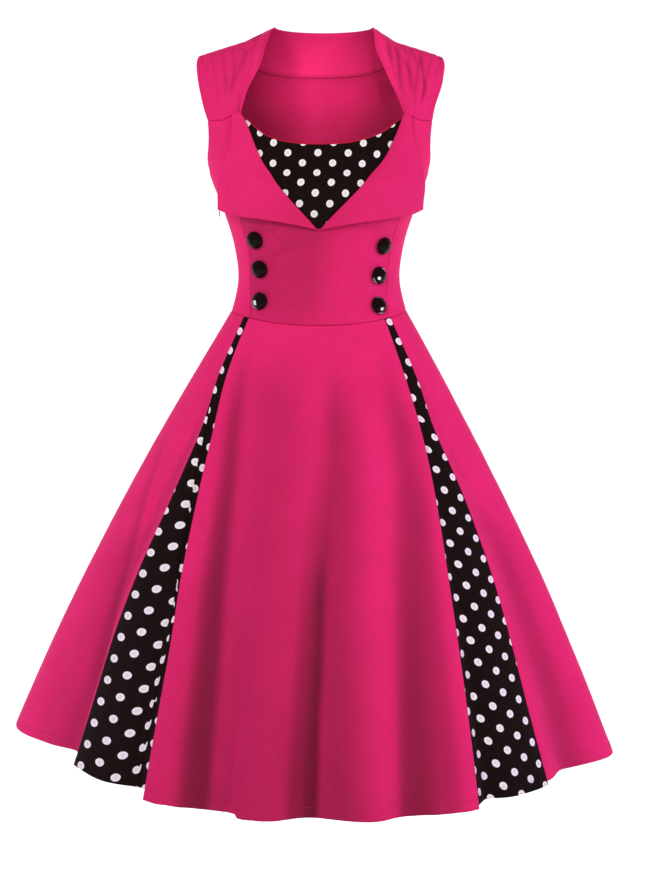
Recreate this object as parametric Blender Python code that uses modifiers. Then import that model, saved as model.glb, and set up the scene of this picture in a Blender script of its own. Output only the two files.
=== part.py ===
"""A sleeveless A-line swing dress, hollow, in the shape it takes when it is worn.

Metres, +Z up. The front faces -Y, and +X is the wearer's left. The origin is half way along the
shoulder seams, between the two shoulders, where the dress hangs. Cloth pieces are open sheets on a
shared form, thickened inwards: the bodice lies on the torso form, and the skirt on a bell.
"""

from collections import namedtuple
import math

import bmesh
import bpy
import numpy as np
from mathutils import Quaternion, Vector

# ------------------------------------------------------------------ driving dimensions, metres
CLOTH = 0.0014             # wall of one cloth layer
LAPEL_WALL = 0.0024        # a lapel is folded over, two layers pressed together
SEAM = 0.0006              # pieces stand this far apart at a seam
BENT_SEAM = 0.0007         # how far a top edge keeps back where its seam turns a corner
NECK_HALF = 0.0695         # neck corners from the middle of the neck
NECK_DEPTH = 0.058         # back neckline behind the neck corners
BAND_DIP = 0.0035          # how far its middle hangs below them
NECK_SHIFT = 0.0070        # that middle, to the left of the centre front
NECK_RISE_RIGHT = 0.0100   # how far the neck corners stand above the shoulder line
NECK_RISE_LEFT = 0.0140
NECK_RISE_REACH = 0.018    # that rise dies out this far to each side of a neck corner
NECK_RISE_LEVELS = 0.4     # and by this level of the torso form
BAND_SHOULDER_ANGLE = 35.0  # where the neck band's lower seam meets the shoulder seam
BAND_SWELL = 0.004         # how far the band bows out backwards between its edges
TIP_RIGHT = 61.5           # outer ends of the shoulder seams, degrees from the centre front
TIP_LEFT = 64.5
TIP_BACK = 61.5            # the same on the bodice back, degrees from the centre back
GATHER_NARROWING = 0.35    # share of its width that a gather loses on its way down
WAIST_SIDE_Z = -0.377      # waist seam at the sides
WAIST_DIP_FRONT = 0.015    # how much lower it runs at the centre front
WAIST_DIP_BACK = 0.006
HEM_Z = -1.002
HEM_RADIUS = 0.405         # the plain bell, before its folds
BELL = 0.28                # how much faster the skirt flares near the waist
WAIST_SHARE = 0.4          # the skirt's radius at the waist, as a share of that at the hem
TUCK_DOWN = 0.08           # share of the skirt's length in which a tucked edge sinks in
UNDERLAP = 0.004           # how far a godet or side panel runs on under its neighbour's edge
FOLD_GROWTH = 1.25         # power with which a skirt fold deepens on its way down
BUTTON_RADIUS = 0.0125
BUTTON_RIM = 0.0022        # height of the widest point above the button's back
BUTTON_DOME = 0.0056       # height of the dome above that
BUTTON_BACK = ((0.94, 0.0004), (0.80, 0.0))   # its rounded back edge: share of radius, height
SHANK_RADIUS = 0.0024
BUTTON_SHANK = 0.0022      # back of a button from the cloth
BUTTON_CLEAR = 0.0003      # foot of its shank from the cloth
LAPEL_LIFT = 0.0037        # outer face of a lapel's fold, out from the cloth's outer face
LAPEL_SPREAD = 0.0020      # how much further its outer edge stands off
LAPEL_CORNER = 0.0115      # the same for its lower outer corner
LAPEL_ROLL = 0.0030        # crown between the fold and the outer edge
ZIP_Z = -0.229             # the pull tab's pivot, at the middle of the zip slider
ZIP_TAPE_WALL = 0.0010
ZIP_SKIRT_ROWS = 2         # how many rows of the skirt the zip runs down
ZIP_TAPE_INSIDE = CLOTH + 0.0009   # outer face of the tape, in from the cloth's outer face
SLIDER_CLEAR = 0.0008      # from the smooth form, so that it clears the flat facets of the cloth
SLIDER_HALF = 0.0040
SLIDER_HALF_WIDTH = 0.0026
SLIDER_BODY = 0.0020
BRIDGE_ROOM = 0.0021       # between the slider's body and its bridge
BRIDGE_HALF = 0.0012       # the same opening along the seam
BRIDGE_WIRE = 0.0008
BRIDGE_HALF_WIDTH = 0.00064
BRIDGE_ROOT = 0.0010       # how deep its two feet run into the body
PULL_WALL = 0.0010
ZIP_TAPE_HALF_ANGLE = 7.0  # degrees round the waist to each side of the side seam

SIDE_SEAM_ROWS = 7
SHOULDER_EASE = 1.3        # rows stand closer together where the cloth turns over the shoulder
BACK_EASE = 1.6
SKIRT_ROWS = 13
PINK = ("pink_cotton", (0.80, 0.022, 0.155), 0.75, 0.0)
DOTS = ("dotted_cotton", (0.011, 0.0045, 0.004), 0.7, 0.0)
BLACK = ("button_black", (0.006, 0.005, 0.005), 0.12, 0.0)
BRASS = ("zip_brass", (0.30, 0.17, 0.07), 0.35, 1.0)
TAPE = ("zip_tape", (0.45, 0.02, 0.09), 0.8, 0.0)

# ------------------------------------------------------------------ the torso form
# One ring of the form per row, from the shoulder line to just under the waist seam. A ring is a
# superellipse, centre_z high at the centre and falling by slope for each metre out to the side.
Ring = namedtuple("Ring", "level centre_z slope half_width front back power")
TORSO = (
    Ring(0.00, 0.0336, 0.29, 0.1900, 0.000, 0.0000, 2.30),   # shoulder seam
    Ring(0.08, 0.0324, 0.29, 0.1910, 0.016, 0.0190, 2.30),
    Ring(0.20, 0.0160, 0.25, 0.1930, 0.034, 0.0380, 2.30),
    Ring(0.40, -0.0200, 0.17, 0.1900, 0.056, 0.0620, 2.30),
    Ring(0.60, -0.0650, 0.10, 0.1830, 0.077, 0.0810, 2.30),
    Ring(0.80, -0.1180, 0.04, 0.1710, 0.096, 0.0920, 2.30),
    Ring(1.00, -0.1740, 0.00, 0.1575, 0.114, 0.0970, 2.25),  # underarm
    Ring(1.15, -0.1950, 0.00, 0.1520, 0.125, 0.0970, 2.20),
    Ring(1.30, -0.2180, 0.00, 0.1420, 0.127, 0.0960, 2.15),  # fullest bust
    Ring(1.45, -0.2430, 0.00, 0.1335, 0.119, 0.0935, 2.10),
    Ring(1.60, -0.2700, 0.00, 0.1250, 0.109, 0.0910, 2.10),
    Ring(1.75, -0.3100, 0.00, 0.1178, 0.099, 0.0890, 2.10),
    Ring(1.85, -0.3350, 0.00, 0.1170, 0.096, 0.0890, 2.10),  # waist
    Ring(1.93, -0.3570, 0.00, 0.1188, 0.097, 0.0915, 2.10),
    Ring(2.00, -0.3770, 0.00, 0.1262, 0.101, 0.0965, 2.10),
    Ring(2.10, -0.4000, 0.00, 0.1340, 0.106, 0.1010, 2.10),
)

# Seams and edges on the form: a height, and the angle from the centre front (or centre back) on
# the wearer's right and left. The last shoulder rows of an edge start on the shoulder seam.
Edge = namedtuple("Edge", "z right left")
STRAP_INNER = (
    Edge(-0.004, 19.5, 21.0), Edge(-0.030, 22.0, 24.5), Edge(-0.061, 28.0, 30.0),
    Edge(-0.081, 31.5, 34.5), Edge(-0.098, 34.3, 38.3),
)
LAPEL_INNER = (
    Edge(-0.098, 34.3, 38.3), Edge(-0.110, 32.2, 37.5), Edge(-0.150, 28.0, 33.0),
    Edge(-0.179, 23.5, 26.5), Edge(-0.208, 17.0, 18.3), Edge(-0.232, 9.5, 9.8),
    Edge(-0.2585, 0.4, 0.4),
)
LAPEL_OUTER = (
    Edge(-0.101, 39.5, 43.0), Edge(-0.130, 42.0, 47.0), Edge(-0.165, 50.0, 57.0),
    Edge(-0.195, 59.0, 66.0), Edge(-0.2260, 66.5, 72.5),
)
LAPEL_BOTTOM = (
    Edge(-0.2260, 66.5, 72.5), Edge(-0.2340, 54.0, 60.0), Edge(-0.2415, 34.0, 40.0),
    Edge(-0.2485, 17.0, 20.0), Edge(-0.2585, 0.4, 0.4),
)
ARMHOLE_FRONT = (
    Edge(-0.0300, 62.0, 66.0), Edge(-0.0530, 62.5, 66.0), Edge(-0.0900, 62.0, 63.0),
    Edge(-0.1085, 61.0, 64.0),
)
ARMHOLE_UNDER = (
    Edge(-0.1085, 61.0, 64.0), Edge(-0.1300, 64.5, 67.0), Edge(-0.1500, 72.0, 73.5),
    Edge(-0.1650, 81.5, 82.0), Edge(-0.1722, 86.8, 86.8), Edge(-0.1740, 90.0, 90.0),
)
ARMHOLE_BACK = (
    Edge(-0.0400, 61.0, 61.0), Edge(-0.0900, 59.5, 59.5), Edge(-0.1250, 63.0, 63.0),
    Edge(-0.1500, 72.5, 72.5), Edge(-0.1650, 81.5, 81.5), Edge(-0.1722, 86.8, 86.8),
    Edge(-0.1740, 90.0, 90.0),
)
STRAP_SEAM = (
    Edge(-0.0980, 34.3, 38.3), Edge(-0.1010, 39.5, 43.0), Edge(-0.1080, 48.0, 52.0),
    Edge(-0.1085, 61.0, 64.0),
)
PRINCESS_BUST = (
    Edge(-0.1010, 39.5, 43.0), Edge(-0.1500, 45.0, 48.0), Edge(-0.2000, 52.0, 54.0),
    Edge(-0.2270, 55.5, 57.5),
)
PRINCESS_WAIST = (
    Edge(-0.2270, 55.5, 57.5), Edge(-0.2600, 55.5, 57.0), Edge(-0.2930, 54.5, 55.5),
    Edge(-0.3390, 56.0, 54.5), Edge(-0.3830, 49.0, 48.0),
)
MIDRIFF_TOP = (
    Edge(-0.2270, 55.5, 57.5), Edge(-0.2310, 36.0, 36.0), Edge(-0.2430, 15.0, 15.0),
    Edge(-0.2580, 0.0, 0.0),
)
INSERT_TOP = (
    Edge(-0.1010, 39.5, 43.0), Edge(-0.1080, 31.5, 37.0), Edge(-0.1190, 27.5, 31.8),
    Edge(-0.1290, 23.0, 25.5), Edge(-0.1370, 16.0, 17.0), Edge(-0.1414, 8.0, 9.0),
    Edge(-0.1427, 0.0, 0.0),
)
BAND_SEAM = (
    Edge(-0.0130, 32.0, 32.0), Edge(-0.0250, 28.0, 28.0),
    Edge(-0.0330, 22.0, 22.0), Edge(-0.0385, 12.0, 12.0), Edge(-0.0400, 0.0, 0.0),
)

# Gathers of a shoulder piece, from the shoulder seam towards the top of the lapel: where each
# ridge starts and ends across the piece (0 at the neck), how high it stands on each side, width.
Gather = namedtuple("Gather", "start end right_height left_height width")
GATHERS = (
    Gather(0.10, 0.05, 0.0018, 0.0026, 0.050),
    Gather(0.24, 0.13, 0.0030, 0.0038, 0.055),
    Gather(0.38, 0.21, 0.0036, 0.0050, 0.060),
    Gather(0.53, 0.31, 0.0032, 0.0046, 0.060),
    Gather(0.69, 0.45, 0.0028, 0.0042, 0.065),
    Gather(0.86, 0.62, 0.0022, 0.0034, 0.070),
)

# ------------------------------------------------------------------ the skirt bell
# Seams of the skirt by height (0 at the waist, 1 at the hem): degrees round from the centre front.
Seams = namedtuple("Seams", "down side_right godet_right front_right front_left godet_left side_left back")
SKIRT_SEAMS = (
    Seams(0.00, -90.0, -60.5, -55.8, 52.0, 57.0, 90.0, 180.0),
    Seams(0.10, -90.5, -60.2, -53.6, 48.8, 57.0, 90.2, 180.0),
    Seams(0.25, -91.5, -55.0, -46.8, 44.7, 53.2, 90.5, 180.0),
    Seams(0.40, -92.5, -56.3, -42.6, 40.1, 54.4, 91.0, 180.0),
    Seams(0.55, -93.5, -59.0, -39.7, 36.3, 53.9, 91.5, 180.0),
    Seams(0.70, -94.0, -60.3, -37.1, 33.8, 52.4, 92.0, 180.0),
    Seams(0.85, -94.5, -60.2, -35.9, 32.0, 51.1, 92.0, 180.0),
    Seams(1.00, -95.0, -61.0, -35.2, 30.6, 50.9, 92.0, 180.0),
)

# Folds of each skirt panel, one row per ridge or valley: how far across the panel, how far it
# stands out from the bell at the hem, how deep it lies under the next panel, and its hem height.
Fold = namedtuple("Fold", "across stand tuck hem")
SKIRT_FOLDS = {
    "skirt_front": (
        Fold(0.000, -0.004, 0.0, 1.000), Fold(0.045, -0.001, 0.0, 1.000),
        Fold(0.165, -0.020, 0.0, 1.000), Fold(0.250, -0.017, 0.0, 1.000),
        Fold(0.355, 0.010, 0.0, 1.000), Fold(0.490, -0.017, 0.0, 1.000),
        Fold(0.690, 0.010, 0.0, 1.000), Fold(0.810, -0.008, 0.0, 1.000),
        Fold(0.955, 0.010, 0.0, 1.000), Fold(1.000, 0.007, 0.0, 1.000),
    ),
    "godet_right": (
        Fold(0.000, -0.012, 0.0019, 0.992), Fold(0.060, -0.012, 0.0019, 0.992),
        Fold(0.400, -0.018, 0.0019, 0.998), Fold(0.850, -0.027, 0.0019, 0.990),
        Fold(0.960, -0.005, 0.0019, 0.988), Fold(1.000, -0.005, 0.0019, 0.988),
    ),
    "godet_left": (
        Fold(0.000, 0.007, 0.0019, 0.998), Fold(0.040, 0.006, 0.0019, 0.998),
        Fold(0.190, -0.014, 0.0019, 0.999), Fold(0.550, -0.005, 0.0019, 1.004),
        Fold(0.940, -0.002, 0.0019, 1.004), Fold(1.000, -0.003, 0.0019, 1.004),
    ),
    "skirt_side_right": (
        Fold(0.000, 0.055, 0.0, 0.994), Fold(0.130, 0.050, 0.0, 0.994),
        Fold(0.550, 0.000, 0.0010, 0.988), Fold(0.820, -0.024, 0.0038, 0.980),
        Fold(0.940, -0.014, 0.0038, 0.974), Fold(1.000, -0.012, 0.0038, 0.972),
    ),
    "skirt_side_left": (
        Fold(0.000, -0.003, 0.0038, 0.998), Fold(0.060, -0.005, 0.0038, 0.998),
        Fold(0.170, -0.020, 0.0038, 1.000), Fold(0.360, 0.002, 0.0020, 1.003),
        Fold(0.600, 0.029, 0.0, 1.005), Fold(0.820, 0.010, 0.0, 1.002),
        Fold(1.000, -0.004, 0.0, 1.000),
    ),
    "skirt_back_left": (
        Fold(0.000, -0.004, 0.0, 1.000), Fold(0.140, -0.010, 0.0, 1.000),
        Fold(0.340, 0.026, 0.0, 1.000), Fold(0.550, -0.010, 0.0, 1.000),
        Fold(0.750, 0.022, 0.0, 1.000), Fold(0.940, -0.010, 0.0, 1.000),
        Fold(1.000, -0.012, 0.0, 1.000),
    ),
    "skirt_back_right": (
        Fold(0.000, -0.012, 0.0, 1.000), Fold(0.060, -0.010, 0.0, 1.000),
        Fold(0.200, 0.024, 0.0, 1.000), Fold(0.400, -0.008, 0.0, 1.000),
        Fold(0.600, 0.032, 0.0, 1.000), Fold(0.780, 0.018, 0.0, 1.000),
        Fold(0.920, 0.050, 0.0, 0.998), Fold(1.000, 0.055, 0.0, 0.994),
    ),
}

# Buttons, three down each side of the midriff: angle from the centre front, height, and how many
# degrees a button leans on its shank, turned about the upright axis.
Button = namedtuple("Button", "angle z lean")
BUTTONS = (
    Button(-44.0, -0.2736, 12.0), Button(-43.0, -0.3146, 12.0), Button(-42.0, -0.3600, 6.0),
    Button(46.0, -0.2817, 0.0), Button(44.0, -0.3234, 0.0), Button(42.0, -0.3663, 0.0),
)

# The pull tab from its crossbar down, and the window under that crossbar: (across, up) pairs.
PULL_OUTLINE = (
    (-0.0020, 0.0006), (0.0020, 0.0006), (0.0020, -0.0040), (0.0028, -0.0100), (0.0022, -0.0125),
    (0.0, -0.0134), (-0.0022, -0.0125), (-0.0028, -0.0100), (-0.0020, -0.0040),
)
PULL_WINDOW = ((-0.0012, -0.0006), (0.0012, -0.0006), (0.0012, -0.0037), (-0.0012, -0.0037))


# ------------------------------------------------------------------ small tools
def column(rows, field):
    return np.array([getattr(row, field) for row in rows], float)


def smooth(keys, values, at):
    """Monotone cubic through (keys, values): it bends between rows and never overshoots them."""
    step = np.diff(keys)
    rise = np.diff(values) / step
    slope = np.zeros(len(keys))
    slope[0], slope[-1] = rise[0], rise[-1]
    for i in range(1, len(keys) - 1):
        if rise[i - 1] * rise[i] > 0:
            before, after = 2 * step[i] + step[i - 1], step[i] + 2 * step[i - 1]
            slope[i] = (before + after) / (before / rise[i - 1] + after / rise[i])
    at = np.asarray(at, float)
    i = np.clip(np.searchsorted(keys, at) - 1, 0, len(keys) - 2)
    s = (at - keys[i]) / step[i]
    return (
        (1 + 2 * s) * (1 - s) ** 2 * values[i]
        + s * (1 - s) ** 2 * step[i] * slope[i]
        + s * s * (3 - 2 * s) * values[i + 1]
        + s * s * (s - 1) * step[i] * slope[i + 1]
    )


def ring(field, level):
    return smooth(column(TORSO, "level"), column(TORSO, field), level)


def torso(angle, level):
    """Points of the torso form. angle is in radians from the centre front, + to the left side."""
    power = 2 / ring("power", level)
    depth = np.where(np.cos(angle) >= 0, ring("front", level), ring("back", level))
    x = ring("half_width", level) * np.sign(np.sin(angle)) * np.abs(np.sin(angle)) ** power
    y = -depth * np.sign(np.cos(angle)) * np.abs(np.cos(angle)) ** power
    from_corner = np.abs(x - NECK_SHIFT) - NECK_HALF
    near_neck = np.exp(-((from_corner / NECK_RISE_REACH) ** 2))
    near_neck = near_neck * np.clip(1 - level / NECK_RISE_LEVELS, 0, 1) ** 2
    rise = near_neck * np.where(x < 0, NECK_RISE_RIGHT, NECK_RISE_LEFT)
    z = ring("centre_z", level) - ring("slope", level) * np.abs(x) + rise
    return np.stack([x, y, z], axis=-1)


def level_at(angle, z):
    """The form's level at which it reaches height z in this direction."""
    low = np.zeros(np.broadcast(angle, z).shape)
    high = low + TORSO[-1].level
    for _ in range(40):
        middle = (low + high) / 2
        above = torso(angle, middle)[..., 2] > z
        low = np.where(above, middle, low)
        high = np.where(above, high, middle)
    return (low + high) / 2


def outward(surface, angle, level):
    """Unit normals of a form at these points, pointing out of the body."""
    step = 1e-4
    along = surface(angle + step, level) - surface(angle - step, level)
    up = surface(angle, level - step) - surface(angle, level + step)
    normal = np.cross(along, up)
    return normal / np.linalg.norm(normal, axis=-1, keepdims=True)


def spaced(points, count, ease=1.0):
    """count + 1 points along a smooth curve through (angle, level) pairs, at equal steps, or closer
    together at its start with an ease above 1."""
    points = np.array(points)
    lengths = np.linalg.norm(np.diff(torso(points[:, 0], points[:, 1]), axis=0), axis=-1)
    along = np.concatenate([[0], np.cumsum(lengths)])
    at = along[-1] * np.linspace(0, 1, count + 1) ** ease
    return np.stack([smooth(along, points[:, k], at) for k in (0, 1)], axis=-1)


def edge_points(rows, side, back=False):
    """An edge table as (angle, level) pairs on one side: -1 is the right, +1 the left."""
    angles = np.radians(column(rows, "right" if side < 0 else "left"))
    angles = np.pi - angles if back else angles
    return np.stack([side * angles, level_at(side * angles, column(rows, "z"))], axis=-1)


def on_shoulder(degrees, side, back=False):
    angle = math.radians(180 - degrees if back else degrees)
    return np.array([[side * angle, 0.0]])


def neck_corner(side):
    """The angle in degrees, from the centre front, at which a neck corner meets the shoulder seam."""
    share = (NECK_HALF + side * NECK_SHIFT) / TORSO[0].half_width
    return math.degrees(math.asin(share ** (TORSO[0].power / 2)))


def waist_z(angle):
    dip = np.where(np.cos(angle) >= 0, WAIST_DIP_FRONT, WAIST_DIP_BACK)
    return WAIST_SIDE_Z - dip * np.cos(angle) ** 2


def waist_line(start, end, count):
    """(angle, level) pairs along the waist seam, angles in radians."""
    angles = np.linspace(start, end, count + 1)
    return np.stack([angles, level_at(angles, waist_z(angles))], axis=-1)


def filled(left, right, top, bottom):
    """A Coons patch of (angle, level) pairs between four edges that share their corners."""
    down = np.linspace(0, 1, len(left))[:, None, None]
    across = np.linspace(0, 1, len(top))[None, :, None]
    sides = left[:, None] * (1 - across) + right[:, None] * across
    ends = top[None] * (1 - down) + bottom[None] * down
    corners = (top[0] * (1 - across) + top[-1] * across) * (1 - down)
    corners = corners + (bottom[0] * (1 - across) + bottom[-1] * across) * down
    return sides + ends - corners


def drawn_in(points, top, sides):
    """Pulls the four edges of a grid in by fixed lengths, so that neighbours stay apart. An edge
    whose wall turns a corner or slips under its neighbour needs more room than the others."""
    points = points.copy()
    for amounts in ((top, SEAM / 2), (sides, sides)):
        for edge, inner, amount in ((0, 1, amounts[0]), (-1, -2, amounts[1])):
            step = points[inner] - points[edge]
            points[edge] += step * amount / np.linalg.norm(step, axis=-1, keepdims=True)
        points = points.swapaxes(0, 1)
    return points


# ------------------------------------------------------------------ objects and materials
for old in list(bpy.data.objects):
    bpy.data.objects.remove(old, do_unlink=True)
collection = bpy.data.collections.new("a_line_dress")
bpy.context.scene.collection.children.link(collection)


def material(name, colour, roughness, metallic):
    made = bpy.data.materials.get(name)
    if made is None:
        made = bpy.data.materials.new(name)
        made.use_nodes = True
        shader = made.node_tree.nodes["Principled BSDF"]
        shader.inputs["Base Color"].default_value = (*colour, 1)
        shader.inputs["Roughness"].default_value = roughness
        shader.inputs["Metallic"].default_value = metallic
        made.diffuse_color = (*colour, 1)
    return made


def add_object(name, mesh, finish):
    mesh.materials.append(material(*finish))
    made = bpy.data.objects.new(name, mesh)
    collection.objects.link(made)
    return made


def cloth(name, points, finish, wall=CLOTH, top=SEAM / 2, sides=SEAM / 2):
    """A cloth piece. points are its outer face, rows from top to bottom, seen from outside left
    to right, and the wall is added inwards."""
    points = drawn_in(points, top, sides)
    rows, columns = points.shape[0] - 1, points.shape[1] - 1
    bm = bmesh.new()
    bmesh.ops.create_grid(bm, x_segments=columns, y_segments=rows, size=1)
    for vertex in bm.verts:
        across = round((vertex.co.x + 1) / 2 * columns)
        down = rows - round((vertex.co.y + 1) / 2 * rows)
        vertex.co = points[down, across]
    mesh = bpy.data.meshes.new(name)
    bm.to_mesh(mesh)
    bm.free()
    mesh.shade_smooth()
    made = add_object(name, mesh, finish)
    thicken = made.modifiers.new("wall", "SOLIDIFY")
    thicken.thickness = wall
    thicken.offset = -1
    return made


def on_torso(grid, lift=0.0):
    """Points of the torso form for (angle, level) pairs, moved out by lift."""
    angle, level = grid[..., 0], grid[..., 1]
    move = np.asarray(lift)[..., None] if np.ndim(lift) else lift
    return torso(angle, level) + outward(torso, angle, level) * move


def side_name(side):
    return "right" if side < 0 else "left"


def in_order(points, side):
    """Grids are made from the centre outwards. Seen from outside, the right side runs backwards."""
    return points[:, ::-1] if side < 0 else points


# ------------------------------------------------------------------ bodice
def gather_height(across, down, side):
    """How far the gathers lift a shoulder piece: strongest at mid length, soft at the seams."""
    total = np.zeros(np.broadcast(across, down).shape)
    for row in GATHERS:
        centre = row.start + (row.end - row.start) * down
        width = row.width * (1 - GATHER_NARROWING * down)
        height = row.right_height if side < 0 else row.left_height
        total += height * np.exp(-(((across - centre) / width) ** 2))
    return total * np.sin(np.pi * (0.03 + 0.89 * down)) ** 0.8


def make_shoulder(side, columns=25, rows=9):
    inner = np.concatenate([on_shoulder(neck_corner(side), side), edge_points(STRAP_INNER, side)])
    tip = on_shoulder(TIP_RIGHT if side < 0 else TIP_LEFT, side)
    outer = np.concatenate([tip, edge_points(ARMHOLE_FRONT, side)])
    seam_line = np.linspace(inner[0], outer[0], columns + 1)
    grid = filled(
        spaced(inner, rows, SHOULDER_EASE), spaced(outer, rows, SHOULDER_EASE), seam_line,
        spaced(edge_points(STRAP_SEAM, side), columns),
    )
    down = np.linspace(0, 1, rows + 1)[:, None]
    across = np.linspace(0, 1, columns + 1)[None, :]
    lift = gather_height(across, down, side)
    cloth("shoulder_" + side_name(side), in_order(on_torso(grid, lift), side), PINK, top=BENT_SEAM)


def mirrored(half):
    """A line of the back from the left side to the centre, carried on to the right side."""
    return np.concatenate([half, (half[::-1] * (-1, 1) + (2 * np.pi, 0))[1:]])


def band_seam(columns=7):
    """The lower seam of the neck band, from the left shoulder seam to the centre back."""
    line = np.concatenate([
        on_shoulder(BAND_SHOULDER_ANGLE, 1, back=True), edge_points(BAND_SEAM, 1, back=True),
    ])
    return spaced(line, columns)


def side_seam(side):
    """(angle, level) pairs down a side seam, from the underarm to the waist."""
    levels = np.linspace(1.0, level_at(np.pi / 2, WAIST_SIDE_Z), SIDE_SEAM_ROWS + 1)
    return np.stack([np.full(len(levels), side * np.pi / 2), levels], axis=-1)


def make_back(rows=6):
    """The bodice back, from side seam to side seam, under the neck band and the shoulders."""
    tip = on_shoulder(TIP_BACK, 1, back=True)
    shoulder = np.linspace(tip[0], on_shoulder(BAND_SHOULDER_ANGLE, 1, back=True)[0], 5)
    top = mirrored(np.concatenate([shoulder, band_seam()[1:]]))
    bottom = waist_line(np.pi / 2, 3 * np.pi / 2, len(top) - 1)
    armhole = spaced(np.concatenate([tip, edge_points(ARMHOLE_BACK, 1, back=True)]), rows, BACK_EASE)
    left = np.concatenate([armhole, side_seam(1)[1:]])
    right = left * (-1, 1) + (2 * np.pi, 0)
    cloth("bodice_back", on_torso(filled(left, right, top, bottom)), PINK, top=BENT_SEAM)


def make_neck_band(rows=4):
    """The band that stands up round the back of the neck, from shoulder seam to shoulder seam."""
    seam_points = mirrored(band_seam())
    lower = torso(seam_points[:, 0], seam_points[:, 1])
    turn = np.linspace(0, np.pi, len(seam_points))
    corner = torso(np.radians(neck_corner(1)), 0.0)
    upper = np.stack([
        NECK_SHIFT + NECK_HALF * np.cos(turn), NECK_DEPTH * np.sin(turn) ** 0.9,
        corner[2] - BAND_DIP * np.sin(turn),
    ], axis=-1)
    down = np.linspace(0, 1, rows + 1)[:, None, None]
    swell = BAND_SWELL * np.sin(np.pi * down) * np.sin(turn)[None, :, None] * np.array([0, 1, 0])
    points = upper[None] * (1 - down) + lower[None] * down + swell
    cloth("back_neck_band", points, PINK)


def make_side_front(side, columns=7):
    bust = spaced(edge_points(PRINCESS_BUST, side), 6)
    waist = spaced(edge_points(PRINCESS_WAIST, side), 7)
    inner = np.concatenate([bust, waist[1:]])
    bottom = waist_line(inner[-1, 0], side * np.pi / 2, columns)
    inner[-1] = bottom[0]
    armhole = spaced(edge_points(ARMHOLE_UNDER, side), len(inner) - 1 - SIDE_SEAM_ROWS)
    outer = np.concatenate([armhole, side_seam(side)[1:]])
    top = spaced(edge_points(STRAP_SEAM, side)[1:], columns)
    grid = filled(inner, outer, top, bottom)
    cloth("side_front_" + side_name(side), in_order(on_torso(grid), side), PINK)


def both_sides(rows, count):
    """An edge table from its right end, through the centre, to its left end."""
    right, left = spaced(edge_points(rows, -1), count), spaced(edge_points(rows, 1), count)
    return np.concatenate([right, left[::-1][1:]])


def make_insert(half_columns=7):
    left = spaced(edge_points(PRINCESS_BUST, -1), 6)
    right = spaced(edge_points(PRINCESS_BUST, 1), 6)
    grid = filled(left, right, both_sides(INSERT_TOP, half_columns), both_sides(MIDRIFF_TOP, half_columns))
    cloth("bust_insert", on_torso(grid), DOTS)


def make_midriff(half_columns=7):
    left = spaced(edge_points(PRINCESS_WAIST, -1), 7)
    right = spaced(edge_points(PRINCESS_WAIST, 1), 7)
    bottom = waist_line(left[-1, 0], right[-1, 0], 2 * half_columns)
    left[-1], right[-1] = bottom[0], bottom[-1]
    grid = filled(left, right, both_sides(MIDRIFF_TOP, half_columns), bottom)
    cloth("midriff_front", on_torso(grid), PINK)


def make_lapel(side, columns=10, rows=10):
    inner = spaced(edge_points(LAPEL_INNER, side), rows)
    outer = spaced(edge_points(LAPEL_OUTER, side), rows)
    top = np.linspace(inner[0], outer[0], columns + 1)
    bottom = spaced(edge_points(LAPEL_BOTTOM, side)[::-1], columns)
    grid = filled(inner, outer, top, bottom)
    down = np.linspace(0, 1, rows + 1)[:, None]
    across = np.linspace(0, 1, columns + 1)[None, :]
    corner = LAPEL_CORNER * across**2 * down**2
    roll = LAPEL_ROLL * np.sin(np.pi * across) * down**2
    lift = LAPEL_LIFT + LAPEL_SPREAD * across + corner + roll
    cloth("lapel_" + side_name(side), in_order(on_torso(grid, lift), side), PINK, LAPEL_WALL)


# ------------------------------------------------------------------ skirt
WAIST_RING = np.linspace(-np.pi, np.pi, 721)
WAIST_POINTS = torso(WAIST_RING, level_at(WAIST_RING, waist_z(WAIST_RING)))
WAIST_AZIMUTH = np.unwrap(np.arctan2(WAIST_POINTS[:, 0], -WAIST_POINTS[:, 1]))
WAIST_RADIUS = np.hypot(WAIST_POINTS[:, 0], WAIST_POINTS[:, 1])


def bell(azimuth, down, stand=0.0, tuck=0.0):
    """Points of the skirt: azimuth in radians round from the centre front, down 0 at the waist
    and 1 at the hem, stand how far a fold leaves the plain bell at the hem."""
    turned = (azimuth + np.pi) % (2 * np.pi) - np.pi
    radius = np.interp(turned, WAIST_AZIMUTH, WAIST_RADIUS)
    top = np.interp(turned, WAIST_AZIMUTH, WAIST_POINTS[:, 2])
    flare = down + BELL * down * (1 - down)
    radius = radius * (1 - flare) + HEM_RADIUS * flare
    radius = radius + stand * np.maximum(down, 0) ** FOLD_GROWTH
    radius = radius - tuck * np.clip(down / TUCK_DOWN, 0, 1)
    height = top * (1 - down) + HEM_Z * down
    return np.stack([radius * np.sin(azimuth), -radius * np.cos(azimuth), height], axis=-1)


def skirt_grid(name, first, last, columns, rows, wrap=0.0, under=(0, 0)):
    """A panel between two seams of SKIRT_SEAMS, with its own folds. Where under is 1, that side
    carries on beneath its neighbour, once its tuck has brought it clear of it."""
    folds = SKIRT_FOLDS[name]
    across = np.linspace(0, 1, columns + 1)[None, :]
    keys = column(folds, "across")
    stand = smooth(keys, column(folds, "stand"), across)
    tuck = smooth(keys, column(folds, "tuck"), across)
    down = np.linspace(0, 1, rows + 1)[:, None] * smooth(keys, column(folds, "hem"), across)
    start = smooth(column(SKIRT_SEAMS, "down"), column(SKIRT_SEAMS, first), down)
    end = smooth(column(SKIRT_SEAMS, "down"), column(SKIRT_SEAMS, last), down) + wrap
    radius = HEM_RADIUS * (WAIST_SHARE + (1 - WAIST_SHARE) * down)
    further = np.degrees(UNDERLAP / radius) * np.clip(down / TUCK_DOWN - 1, 0, 1)
    start, end = start - under[0] * further, end + under[1] * further
    return bell(np.radians(start + (end - start) * across), down, stand, tuck)


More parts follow.
